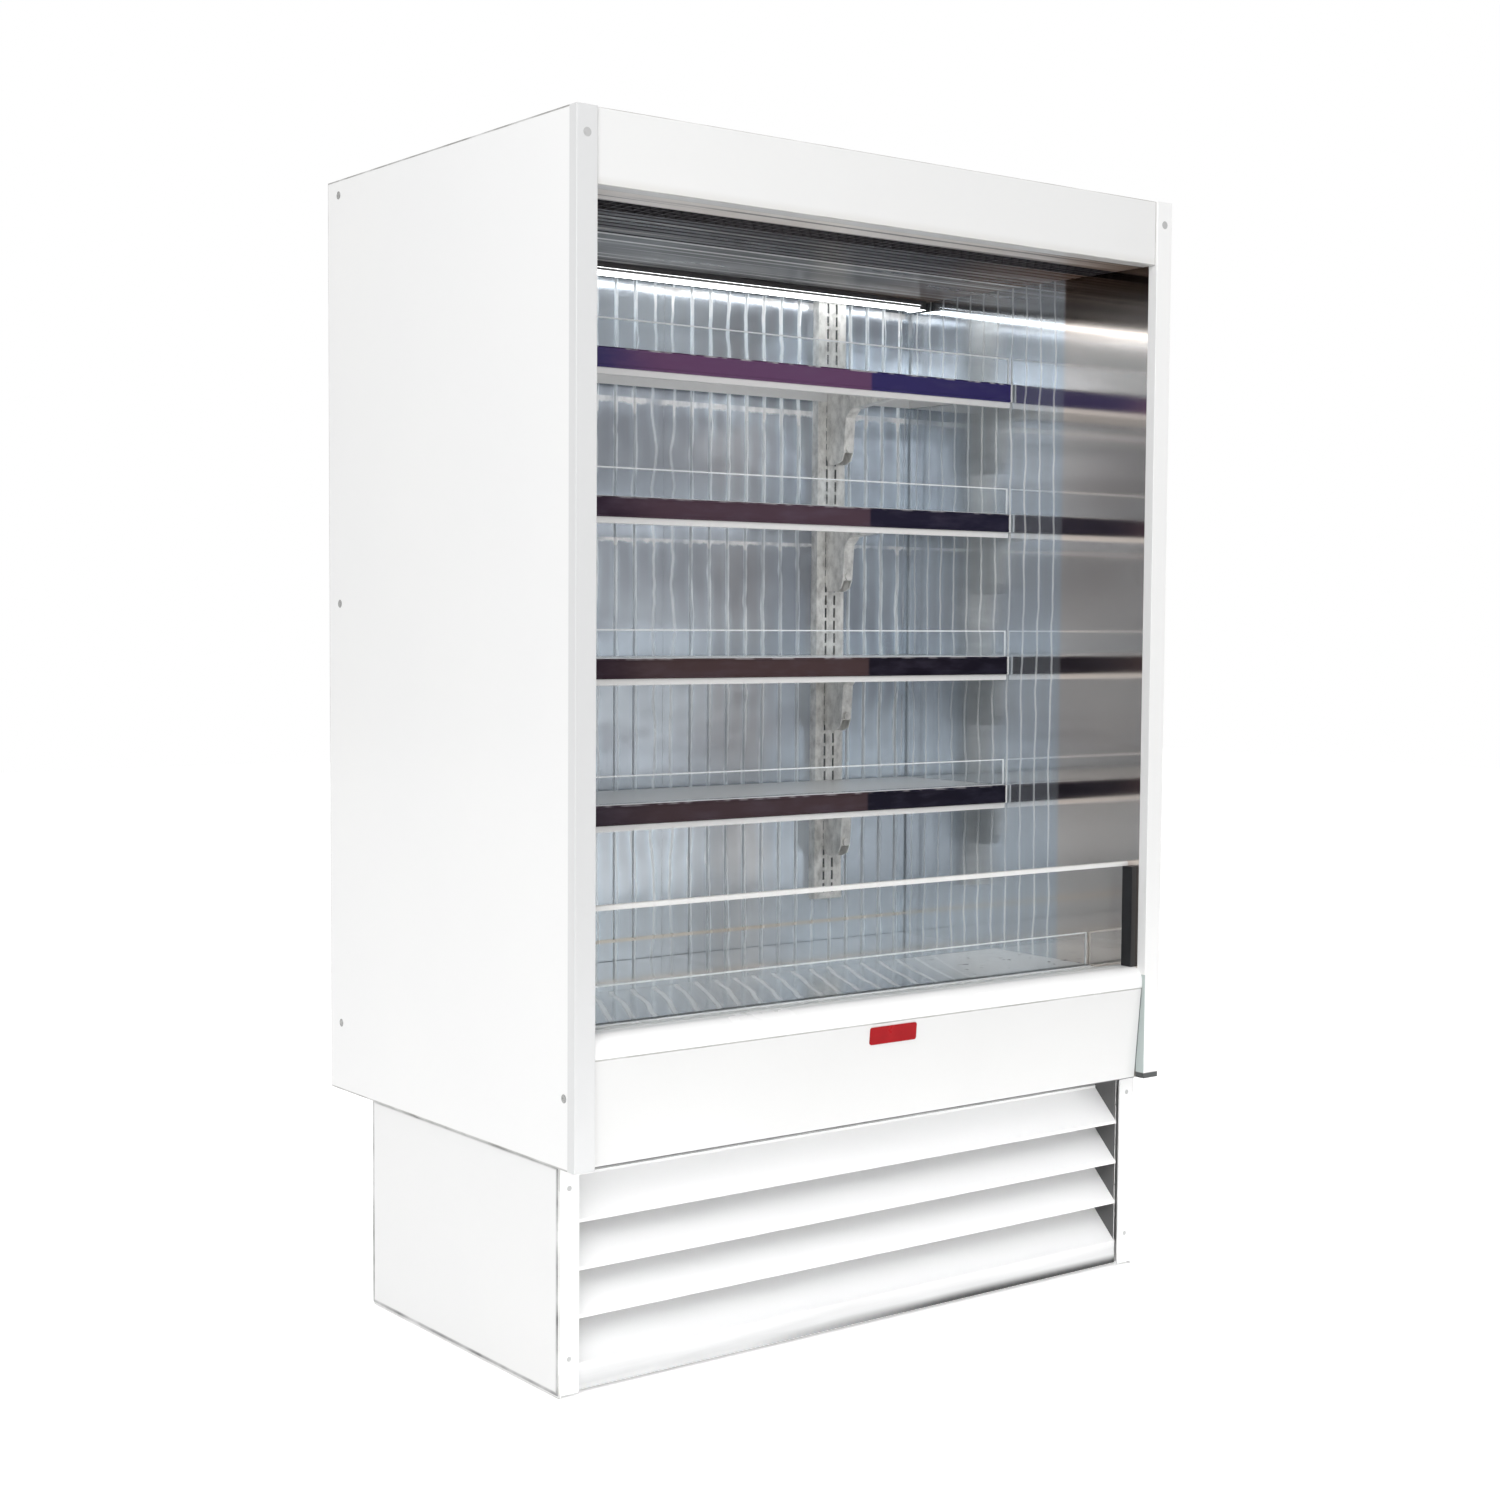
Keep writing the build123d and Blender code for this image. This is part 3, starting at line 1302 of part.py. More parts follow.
screws = end_screws() + [post_screw()]
for screw_x, screw_z in upright_screws():
    start = (screw_x, base_front + screw_depth, screw_z)
    if screw_x > 0:
        screws.append(rod(small_screw_radius, start, (screw_x, base_front, screw_z)))
save("panel_screws", *screws, *[other_side(screw) for screw in screws])
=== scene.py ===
import bpy
import bmesh
import math
from mathutils import Matrix, Vector


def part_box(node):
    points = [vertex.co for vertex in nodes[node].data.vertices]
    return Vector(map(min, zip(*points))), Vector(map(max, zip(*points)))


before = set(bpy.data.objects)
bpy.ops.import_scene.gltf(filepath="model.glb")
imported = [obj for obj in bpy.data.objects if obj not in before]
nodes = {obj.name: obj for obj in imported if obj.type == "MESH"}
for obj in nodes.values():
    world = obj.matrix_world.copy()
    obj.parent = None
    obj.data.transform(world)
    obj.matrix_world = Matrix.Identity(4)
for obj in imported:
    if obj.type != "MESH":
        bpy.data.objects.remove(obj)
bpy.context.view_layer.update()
scene = bpy.context.scene
print("frame loaded:", len(nodes), "pieces")


# Node helpers that every finish is made with
def startMaterial(name):
    material = bpy.data.materials.new(name)
    material.use_nodes = True
    tree = material.node_tree
    tree.nodes.clear()
    output = tree.nodes.new("ShaderNodeOutputMaterial")
    shader = tree.nodes.new("ShaderNodeBsdfPrincipled")
    tree.links.new(shader.outputs["BSDF"], output.inputs["Surface"])
    return material, tree, shader


def addNode(tree, kind, inputs=None, **settings):
    node = tree.nodes.new(kind)
    for key, value in settings.items():
        setattr(node, key, value)
    for key, value in (inputs or {}).items():
        if isinstance(value, bpy.types.NodeSocket):
            tree.links.new(value, node.inputs[key])
        else:
            node.inputs[key].default_value = value
    return node


def feed(tree, value, socket):
    tree.links.new(value, socket)


def calc(tree, operation, first, second=0.0):
    return addNode(tree, "ShaderNodeMath", {0: first, 1: second}, operation=operation).outputs[0]


def times(tree, first, second):
    return calc(tree, "MULTIPLY", first, second)


def flip(tree, value):       # 0 becomes 1, and 1 becomes 0
    return calc(tree, "SUBTRACT", 1.0, value)


def objectSpace(tree, scale=(1, 1, 1), move=(0, 0, 0)):
    coords = addNode(tree, "ShaderNodeTexCoord").outputs["Object"]
    settings = {"Vector": coords, "Scale": scale, "Location": move}
    return addNode(tree, "ShaderNodeMapping", settings).outputs["Vector"]


def axes(tree):
    parts = addNode(tree, "ShaderNodeSeparateXYZ", {"Vector": objectSpace(tree)}).outputs
    return parts["X"], parts["Y"], parts["Z"]


def facing(tree, axis):      # 1 where the surface looks along +axis, -1 along -axis
    normal = addNode(tree, "ShaderNodeNewGeometry").outputs["Normal"]
    return addNode(tree, "ShaderNodeSeparateXYZ", {"Vector": normal}).outputs[axis]


def noise(tree, vector, scale, detail=3.0, rough=0.5):
    settings = {"Vector": vector, "Scale": scale, "Detail": detail, "Roughness": rough}
    return addNode(tree, "ShaderNodeTexNoise", settings).outputs["Fac"]


def spread(tree, value, low, high, fromLow=0.3, fromHigh=0.7):
    settings = {"Value": value, "From Min": fromLow, "From Max": fromHigh, "To Min": low, "To Max": high}
    return addNode(tree, "ShaderNodeMapRange", settings).outputs["Result"]


def softStep(tree, value, start, end):      # 0 before start, 1 after end, eased between
    settings = {"Value": value, "From Min": start, "From Max": end}
    return addNode(tree, "ShaderNodeMapRange", settings, interpolation_type="SMOOTHSTEP").outputs["Result"]


def band(tree, value, middle, half, soft):   # 1 within half of the middle
    away = calc(tree, "ABSOLUTE", calc(tree, "SUBTRACT", value, middle))
    return flip(tree, softStep(tree, away, half, half + soft))


def colours(tree, fac, stops):
    ramp = addNode(tree, "ShaderNodeValToRGB", {"Fac": fac})
    while len(ramp.color_ramp.elements) < len(stops):
        ramp.color_ramp.elements.new(0.5)
    for element, (place, colour) in zip(ramp.color_ramp.elements, stops):
        element.position = place
        element.color = (*colour, 1)
    return ramp.outputs["Color"]


def mixColours(tree, fac, first, second, blend="MIX"):
    node = addNode(tree, "ShaderNodeMix", data_type="RGBA", blend_type=blend)
    for place, value in ((0, fac), (6, first), (7, second)):
        if isinstance(value, bpy.types.NodeSocket):
            tree.links.new(value, node.inputs[place])
        elif place:
            node.inputs[place].default_value = (*value, 1)
        else:
            node.inputs[place].default_value = value
    return node.outputs[2]


def bump(tree, height, strength, distance, normal=None):
    node = addNode(tree, "ShaderNodeBump", {"Height": height, "Strength": strength, "Distance": distance})
    if normal:
        tree.links.new(normal, node.inputs["Normal"])
    return node.outputs["Normal"]


def paint(nodeNames, material):
    for name in nodeNames:
        data = nodes[name].data
        data.materials.clear()
        data.materials.append(material)


# White enamelled sheet. A fine grey line of painted shade runs along its edges.
enamel = {
    "colour": (0.900, 0.900, 0.895),
    "shade": (0.885, 0.886, 0.886),
    "cloudScale": 2.2,
    "rough": (0.28, 0.32),
    "roughScale": 60,
    "peelScale": 420.0,      # orange peel
    "peelStrength": 0.12,
    "peelDepth": 0.00003,
    "waveScale": 3.0,        # slow waves in the sheet
    "waveStrength": 0.5,
    "waveDepth": 0.0010,
    "coat": 0.25,
    "coatRough": 0.12,
    "edgeColour": (0.34, 0.33, 0.31),
    "edgeWidth": 0.0018,
    "edgePatches": 14,       # how finely the painted edge shade comes and goes
    "edgeLeast": 0.25,       # how strong it is where it is weakest
}


# Painted shade: a patchy grey line along the edges of the part's box
def rubbedEdges(tree, box, look):
    gaps = []                # to the nearer face of the box, along each axis
    for place, start, end in zip(axes(tree), *box):
        fromStart = calc(tree, "ABSOLUTE", calc(tree, "SUBTRACT", place, start))
        fromEnd = calc(tree, "ABSOLUTE", calc(tree, "SUBTRACT", place, end))
        gaps.append(calc(tree, "MINIMUM", fromStart, fromEnd))
    least = calc(tree, "MINIMUM", calc(tree, "MINIMUM", gaps[0], gaps[1]), gaps[2])
    most = calc(tree, "MAXIMUM", calc(tree, "MAXIMUM", gaps[0], gaps[1]), gaps[2])
    total = calc(tree, "ADD", calc(tree, "ADD", gaps[0], gaps[1]), gaps[2])
    second = calc(tree, "SUBTRACT", calc(tree, "SUBTRACT", total, least), most)
    worn = spread(tree, noise(tree, objectSpace(tree), look["edgePatches"], 4), look["edgeLeast"], 1.0)
    near = flip(tree, softStep(tree, second, look["edgeWidth"] * 0.4, look["edgeWidth"]))
    return times(tree, near, worn)


def makeEnamel(name, look, box=None, tintAt=None):
    material, tree, shader = startMaterial(name)
    space = objectSpace(tree)
    cloud = noise(tree, space, look["cloudScale"], 4)
    fine = noise(tree, space, look["roughScale"], 2)
    tint = mixColours(tree, spread(tree, cloud, 0, 1), look["colour"], look["shade"])
    if tintAt:
        tint = tintAt(tree, tint)
    if box:
        tint = mixColours(tree, rubbedEdges(tree, box, look), tint, look["edgeColour"])
    feed(tree, tint, shader.inputs["Base Color"])
    feed(tree, spread(tree, fine, *look["rough"]), shader.inputs["Roughness"])
    peel = noise(tree, space, look["peelScale"], 1)
    peel = bump(tree, peel, look["peelStrength"], look["peelDepth"])
    wave = noise(tree, space, look["waveScale"], 1)
    wave = bump(tree, wave, look["waveStrength"], look["waveDepth"], peel)
    feed(tree, wave, shader.inputs["Normal"])
    shader.inputs["Coat Weight"].default_value = look["coat"]
    shader.inputs["Coat Roughness"].default_value = look["coatRough"]
    return material


for name in ["back_wall", "top_wall", "tub", "base_frame"]:
    paint([name], makeEnamel(name + "_enamel", enamel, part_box(name)))

# The end panels carry a darker, wider line of painted edge shade
endPaint = {**enamel, "edgeColour": (0.20, 0.195, 0.18), "edgeWidth": 0.0034}
for name in ["left_end_panel", "right_end_panel"]:
    paint([name], makeEnamel(name + "_enamel", endPaint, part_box(name)))

# Lower front panel: painted shade darkens its cut ends and its foot, which sit at dark gaps. Its colour is
# painted darker than the other enamel, as shade.
lowerPaint = {
    **enamel,
    "colour": (0.78, 0.78, 0.775),
    "shade": (0.81, 0.81, 0.805),
    "gap": (0.10, 0.10, 0.10),
    "endFrom": 0.0022,       # in from the cut end
    "endTo": 0.001,
    "footFrom": 0.0008,      # up from the foot
    "footTo": 0.0022,
}


def lowerPanelEnds(tree, tint):
    look = lowerPaint
    across, deep, height = axes(tree)
    low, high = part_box("lower_front_panel")
    # Painted shade at the cut ends and along the foot
    ends = softStep(tree, calc(tree, "ABSOLUTE", across), high.x - look["endFrom"], high.x - look["endTo"])
    foot = flip(tree, softStep(tree, height, low.z + look["footFrom"], low.z + look["footTo"]))
    return mixColours(tree, calc(tree, "MAXIMUM", ends, foot), tint, look["gap"])


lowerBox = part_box("lower_front_panel")
paint(["lower_front_panel"], makeEnamel("lowerPanelEnamel", lowerPaint, lowerBox, lowerPanelEnds))

# The base panels carry a broad black line of painted shadow along their edges
basePaint = {
    **enamel,
    "colour": (0.850, 0.850, 0.846),
    "shade": (0.830, 0.832, 0.832),
    "edgeColour": (0.05, 0.05, 0.05),
    "edgeWidth": 0.007,
}
paint(["base_panels"], makeEnamel("basePanelEnamel", basePaint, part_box("base_panels")))

# The fascia's folded lip carries painted shade, darker than its face. The face's colour is painted darker
# than the other enamel, as shade.
fasciaPaint = {
    **enamel,
    "colour": (0.82, 0.82, 0.815),
    "shade": (0.84, 0.84, 0.835),
    "lip": (0.76, 0.75, 0.73),
    "lipFrom": 0.004,        # up from the fascia's foot
    "lipTo": 0.016,
    "lipAmount": 0.75,
}


def fasciaLip(tree, tint):
    look = fasciaPaint
    height = axes(tree)[2]
    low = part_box("canopy_fascia")[0].z
    # Painted shade on the folded lip
    lip = flip(tree, softStep(tree, height, low + look["lipFrom"], low + look["lipTo"]))
    return mixColours(tree, times(tree, lip, look["lipAmount"]), tint, look["lip"])


paint(["canopy_fascia"], makeEnamel("fasciaEnamel", fasciaPaint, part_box("canopy_fascia"), fasciaLip))

# Post trims: the left one is painted darker, as shade, and the right one lighter, as light. The right
# one's inner face has painted shade, and a dark band at its foot.
postPaint = {
    **enamel,
    "left": (0.64, 0.645, 0.65),
    "right": (0.93, 0.93, 0.925),
    "cloudAmount": 0.25,     # how much of the enamel's own tint shows
    "inside": (0.46, 0.52, 0.51),
    "insideTop": 0.56,
    "foot": (0.05, 0.055, 0.055),
    "footHeight": 0.011,
}


def postTint(tree, tint):
    look = postPaint
    across, deep, height = axes(tree)
    side = softStep(tree, across, -0.1, 0.1)      # 0 on the left post, 1 on the right one
    # Painted shade on the left post, painted light on the right one
    tone = mixColours(tree, side, look["left"], look["right"])
    tone = mixColours(tree, look["cloudAmount"], tone, tint)
    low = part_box("front_posts")[0].z
    # Painted shade on the right post's inner face
    inner = softStep(tree, times(tree, facing(tree, "X"), -1.0), 0.5, 0.9)
    inner = times(tree, inner, calc(tree, "LESS_THAN", height, look["insideTop"]))
    tone = mixColours(tree, times(tree, inner, side), tone, look["inside"])
    foot = flip(tree, softStep(tree, height, low + look["footHeight"] * 0.8, low + look["footHeight"]))
    return mixColours(tree, times(tree, foot, side), tone, look["foot"])


paint(["front_posts"], makeEnamel("postEnamel", postPaint, None, postTint))

# Louvres: painted shade darkens the blades underneath and along the lower edge of each lip.
# The kick face below them darkens towards the floor with painted shade, and has painted shadow at its
# foot.
# The blades' colour is painted lighter than the other enamel, as light.
louvrePaint = {
    **enamel,
    "colour": (0.945, 0.945, 0.945),
    "shade": (0.93, 0.93, 0.93),
    "rough": (0.28, 0.38),
    "coat": 0.2,
    "kickTop": 0.082,
    "scuffed": (0.50, 0.505, 0.51),
    "scuffScale": (3, 20, 40),
    "dirt": (0.03, 0.03, 0.03),
    "dirtTop": 0.024,
    "dirtFrom": -0.35,       # metres right of the middle
    "dirtTo": 0.25,
    "hidden": (0.10, 0.10, 0.10),
    "bladePitch": 0.0762,
    "lipDepth": 0.005,
    "lipLine": 0.0022,
    "firstLip": 0.02,        # above the kick face
}


def kickTint(tree, tint):
    look = louvrePaint
    across, deep, height = axes(tree)
    # Painted shade towards the floor, broken up by noise
    dull = flip(tree, softStep(tree, height, 0.0, look["kickTop"]))
    scuffs = spread(tree, noise(tree, objectSpace(tree, look["scuffScale"]), 1.0, 5), 0.6, 1.0)
    tone = mixColours(tree, times(tree, dull, scuffs), tint, look["scuffed"])
    # Painted shadow at the kick's foot, growing to the right
    rightwards = softStep(tree, across, look["dirtFrom"], look["dirtTo"])
    dirt = flip(tree, softStep(tree, height, look["dirtTop"] * 0.3, look["dirtTop"]))
    tone = mixColours(tree, times(tree, dirt, rightwards), tone, look["dirt"])
    # Painted shade on faces turned away from the front and under each lip
    ahead = times(tree, facing(tree, "Y"), -1.0)
    rise = calc(tree, "SUBTRACT", height, look["kickTop"] - look["lipDepth"])
    rise = calc(tree, "MODULO", rise, look["bladePitch"])
    line = calc(tree, "LESS_THAN", rise, look["lipLine"])
    line = times(tree, line, calc(tree, "GREATER_THAN", height, look["kickTop"] + look["firstLip"]))
    line = times(tree, line, calc(tree, "GREATER_THAN", ahead, 0.9))
    tone = mixColours(tree, line, tone, look["hidden"])
    return mixColours(tree, softStep(tree, ahead, 0.15, 0.4), look["hidden"], tone)


paint(["louvre_grille"], makeEnamel("louvreEnamel", louvrePaint, None, kickTint))

grillePaint = {**enamel, "colour": (0.97, 0.97, 0.97), "shade": (0.94, 0.94, 0.94), "rough": (0.2, 0.3)}
paint(["return_grille"], makeEnamel("grilleEnamel", grillePaint))

# Shelf pans, with a line of painted shade for the groove that runs along the front lip
shelfPaint = {
    **enamel,
    "colour": (0.84, 0.84, 0.835),
    "shade": (0.80, 0.80, 0.80),
    "rough": (0.33, 0.37),
    "coat": 0.15,
    "groove": (0.05, 0.04, 0.04),
    "grooveDrop": 0.0408,    # below the pan's top
    "grooveHalf": 0.0022,
    "grooveSoft": 0.0005,
    "lipFrom": 0.002,        # back from the lip's face
    "lipTo": 0.004,
}


def makeShelf(name, look, box):
    low, high = box

    def grooveTint(tree, tint):
        across, deep, height = axes(tree)
        # Painted shade along the groove
        line = band(tree, height, high.z - look["grooveDrop"], look["grooveHalf"], look["grooveSoft"])
        front = flip(tree, softStep(tree, deep, low.y + look["lipFrom"], low.y + look["lipTo"]))
        return mixColours(tree, times(tree, line, front), tint, look["groove"])

    return makeEnamel(name, look, None, grooveTint)


for tier in range(1, 5):
    name = f"shelf_{tier}_pan"
    paint([name], makeShelf(name + "_enamel", shelfPaint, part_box(name)))
print("enamel done")


# Drawn metal: what the rear deck pan, the zinc pieces and the copper pipes share
brightSteel = {
    "brush": (900.0, 900.0, 9.0),
    "brushStrength": 0.3,
    "brushDepth": 0.00004,
    "buckle": (7.0, 7.0, 1.6),     # slow buckles that bend the reflections
    "buckleStrength": 0.6,
    "metal": 1.0,
}


def makeSteel(name, look):
    material, tree, shader = startMaterial(name)
    streaks = noise(tree, objectSpace(tree, look["streak"]), 1.0, 5, 0.55)
    brushed = noise(tree, objectSpace(tree, look["brush"]), 1.0, 2)
    buckles = noise(tree, objectSpace(tree, look["buckle"]), 1.0, 2)
    tint = colours(tree, spread(tree, streaks, 0, 1, 0.25, 0.75), look["tints"])
    feed(tree, tint, shader.inputs["Base Color"])
    feed(tree, spread(tree, brushed, *look["rough"]), shader.inputs["Roughness"])
    shader.inputs["Metallic"].default_value = look["metal"]
    grain = bump(tree, brushed, look["brushStrength"], look["brushDepth"])
    bent = bump(tree, buckles, look["buckleStrength"], look["buckleDepth"], grain)
    feed(tree, bent, shader.inputs["Normal"])
    return material


# Pale wavy lines of painted highlight along ribs that are one pitch apart
def ribLines(tree, place, first, look):
    quick = noise(tree, objectSpace(tree, (5.0, 5.0, 9.0), (3, 0, 7)), 1.0, 2)
    stray = times(tree, calc(tree, "SUBTRACT", quick, 0.5), look["wander"] * 2)
    along = calc(tree, "SUBTRACT", calc(tree, "ADD", place, stray), first)
    turns = calc(tree, "ADD", calc(tree, "DIVIDE", along, look["ribPitch"]), 20.5)   # never below 0
    phase = calc(tree, "ABSOLUTE", calc(tree, "SUBTRACT", calc(tree, "FRACT", turns), 0.5))
    core = flip(tree, softStep(tree, phase, *look["core"]))
    halo = flip(tree, softStep(tree, phase, *look["halo"]))
    return core, halo, quick


# Ribbed back: blue-grey sheet with pale wavy lines of painted highlight along its ribs, painted glints
# under the canopy and shelves, and painted light towards the deck
ribbedBack = {
    "sheet": ((0.0, (0.27, 0.29, 0.33)), (0.5, (0.47, 0.51, 0.57)), (1.0, (0.70, 0.77, 0.84))),
    "ribColour": (0.93, 0.97, 1.0),
    "haloColour": (0.72, 0.84, 0.94),
    "haloAmount": 0.55,
    "lowColour": (0.86, 0.92, 0.97),   # painted light, brighter towards the deck
    "lowAmount": 0.42,
    "lowHeights": (0.65, 1.15),
    "firstRib": 0.066,
    "ribPitch": 0.044,
    "wander": 0.014,          # how far a line strays sideways
    "core": (0.030, 0.10),    # of the pitch
    "halo": (0.04, 0.42),
    "metal": 0.72,
    "rough": (0.14, 0.24),
    # Height, half width and run down the ribs of each bright band
    "glints": ((1.842, 0.008, 0.035), (1.629, 0.006, 0.02), (1.366, 0.004, 0.01)),
    "glintColour": (1.0, 1.0, 1.0),
    "glintRagged": 0.016,
    "stripLow": 0.598,        # pale strip across the ribs, above the deck
    "stripHigh": 0.6045,
    "stripColour": (0.75, 0.66, 0.55),
    "stripAmount": 0.8,
}


# Painted highlight: ragged bright bands under the canopy and the shelves
def glintBands(tree, height, core, look):
    broken = noise(tree, objectSpace(tree, (14, 14, 3), (1, 5, 2)), 1.0, 4)
    ragged = noise(tree, objectSpace(tree, (45, 45, 8), (2, 0, 4)), 1.0, 3)
    ragged = times(tree, calc(tree, "SUBTRACT", ragged, 0.5), look["glintRagged"])
    glints = []
    for place, half, run in look["glints"]:
        fall = calc(tree, "ADD", times(tree, core, run), ragged)
        drop = calc(tree, "SUBTRACT", place + half, height)      # metres below the top of the band
        past = softStep(tree, calc(tree, "SUBTRACT", drop, fall), half * 1.4, half * 2.4)
        glints.append(times(tree, softStep(tree, drop, 0.0, 0.002), flip(tree, past)))
    brightest = glints[0]
    for glint in glints[1:]:
        brightest = calc(tree, "MAXIMUM", brightest, glint)
    return times(tree, brightest, spread(tree, broken, 0.15, 1.0, 0.40, 0.58))


def makeRibbedBack(look):
    material, tree, shader = startMaterial("ribbedBackSteel")
    across, deep, height = axes(tree)
    slow = noise(tree, objectSpace(tree, (2.0, 2.0, 3.2)), 1.0, 3)
    core, halo, quick = ribLines(tree, calc(tree, "ABSOLUTE", across), look["firstRib"], look)
    patches = noise(tree, objectSpace(tree, (4.5, 4.5, 5.5), (9, 2, 1)), 1.0, 3)
    patches = spread(tree, patches, 0.05, 1.0, 0.38, 0.62)
    sheet = colours(tree, spread(tree, slow, 0, 1, 0.3, 0.7), look["sheet"])
    # Painted light towards the deck
    low = flip(tree, softStep(tree, height, *look["lowHeights"]))
    sheet = mixColours(tree, times(tree, low, look["lowAmount"]), sheet, look["lowColour"])
    glow = times(tree, halo, times(tree, patches, look["haloAmount"]))
    tone = mixColours(tree, glow, sheet, look["haloColour"])
    # The ribs' flanks are painted pale as well, as painted light over their shade
    sides = softStep(tree, calc(tree, "ABSOLUTE", facing(tree, "X")), 0.2, 0.5)
    core = calc(tree, "MAXIMUM", core, sides)
    ribs = times(tree, core, spread(tree, patches, 0.35, 1.0, 0.0, 1.0))
    tone = mixColours(tree, ribs, tone, look["ribColour"])
    strip = times(tree, calc(tree, "GREATER_THAN", height, look["stripLow"]),
                  calc(tree, "LESS_THAN", height, look["stripHigh"]))
    tone = mixColours(tree, times(tree, strip, look["stripAmount"]), tone, look["stripColour"])
    glint = glintBands(tree, height, core, look)
    feed(tree, mixColours(tree, glint, tone, look["glintColour"]), shader.inputs["Base Color"])
    pale = calc(tree, "MAXIMUM", glint, times(tree, core, 0.7))
    feed(tree, times(tree, flip(tree, pale), look["metal"]), shader.inputs["Metallic"])
    fine = noise(tree, objectSpace(tree, (500, 500, 8)), 1.0, 2)
    feed(tree, spread(tree, fine, *look["rough"]), shader.inputs["Roughness"])
    grain = bump(tree, fine, 0.25, 0.00004)
    feed(tree, bump(tree, quick, 0.6, 0.004, grain), shader.inputs["Normal"])
    return material


paint(["back_panels"], makeRibbedBack(ribbedBack))

# Liners: the grain makes level lines mirror crisply. Their rear part carries a painted reflection of the
# ribbed back: blue-grey, with pale rib lines.
liner = {
    "back": (0.60, 0.64, 0.68),
    "front": (0.74, 0.665, 0.61),
    "clouds": (0.78, 0.74, 0.70),
    "ribColour": (1.0, 1.0, 1.0),
    "haloColour": (0.72, 0.84, 0.94),
    "haloAmount": 0.5,
    "shadow": (0.10, 0.065, 0.05),   # under the canopy
    "shadowFrom": 1.72,
    "shadowRise": 0.12,
    "shadowAmount": 0.9,
    "turnFrom": -0.178,       # depth where the painted rib reflection begins
    "turnTo": -0.168,
    "firstRib": 0.012,
    "ribPitch": 0.040,
    "wander": 0.010,
    "core": (0.030, 0.10),
    "halo": (0.04, 0.42),
    "rough": (0.09, 0.13),
    "grain": 1.0,
    "metal": 0.88,
    "ribDull": 0.35,          # how much less metallic a rib line is
}


def makeLiner(look):
    material, tree, shader = startMaterial("linerSteel")
    across, deep, height = axes(tree)
    # Painted reflection of the ribbed back on the rear part
    ribbed = softStep(tree, deep, look["turnFrom"], look["turnTo"])
    core, halo, quick = ribLines(tree, deep, look["firstRib"], look)
    cloud = noise(tree, objectSpace(tree, (3, 3, 4)), 1.0, 4)
    patches = spread(tree, cloud, 0.1, 1.0, 0.36, 0.62)
    glow = times(tree, halo, times(tree, patches, look["haloAmount"]))
    back = mixColours(tree, glow, look["back"], look["haloColour"])
    ribs = times(tree, core, spread(tree, patches, 0.15, 0.9, 0.0, 1.0))
    back = mixColours(tree, ribs, back, look["ribColour"])
    tone = mixColours(tree, ribbed, look["front"], back)
    tone = mixColours(tree, spread(tree, cloud, 0.0, 0.25), tone, look["clouds"])
    under = softStep(tree, height, look["shadowFrom"], look["shadowFrom"] + look["shadowRise"])
    under = times(tree, under, flip(tree, ribbed))
    tone = mixColours(tree, times(tree, under, look["shadowAmount"]), tone, look["shadow"])
    feed(tree, tone, shader.inputs["Base Color"])
    feed(tree, spread(tree, cloud, *look["rough"]), shader.inputs["Roughness"])
    dull = calc(tree, "ADD", 1 - look["metal"], times(tree, core, look["ribDull"]))
    feed(tree, flip(tree, times(tree, ribbed, dull)), shader.inputs["Metallic"])
    shader.inputs["Anisotropic"].default_value = look["grain"]
    tangent = addNode(tree, "ShaderNodeTangent", direction_type="RADIAL", axis="Z")
    feed(tree, tangent.outputs["Tangent"], shader.inputs["Tangent"])
    buckles = noise(tree, objectSpace(tree, (5, 5, 1.4)), 1.0, 2)
    feed(tree, bump(tree, buckles, 0.3, 0.0006), shader.inputs["Normal"])
    return material


paint(["end_liners"], makeLiner(liner))

deckSteel = {
    **brightSteel,
    "tints": ((0.0, (0.62, 0.64, 0.66)), (0.5, (0.76, 0.78, 0.80)), (1.0, (0.90, 0.91, 0.92))),
    "rough": (0.05, 0.12),
    "streak": (26.0, 3.0, 26.0),
    "brush": (900.0, 9.0, 900.0),
    "buckle": (5.0, 3.0, 4.0),
    "buckleDepth": 0.0022,
    "metal": 0.7,
}
paint(["deck_pan_rear"], makeSteel("deckSteel", deckSteel))

# Front pan: painted light makes it white to the right, with small dark specks. Its pale leaning lines are
# a painted reflection of the back's ribs.
frontPan = {
    "dull": (0.80, 0.81, 0.83),
    "white": (1.0, 1.0, 1.0),
    "whiteFrom": 0.25,        # metres right of the middle
    "whiteTo": 0.55,
    "speck": (0.12, 0.12, 0.12),
    "rough": (0.10, 0.2),
    "metal": 0.75,
    "lean": 0.5,              # how far the lines lean over as they run back
    "ribPitch": 0.044,
    "wander": 0.016,
    "core": (0.06, 0.18),
    "halo": (0.05, 0.4),
}


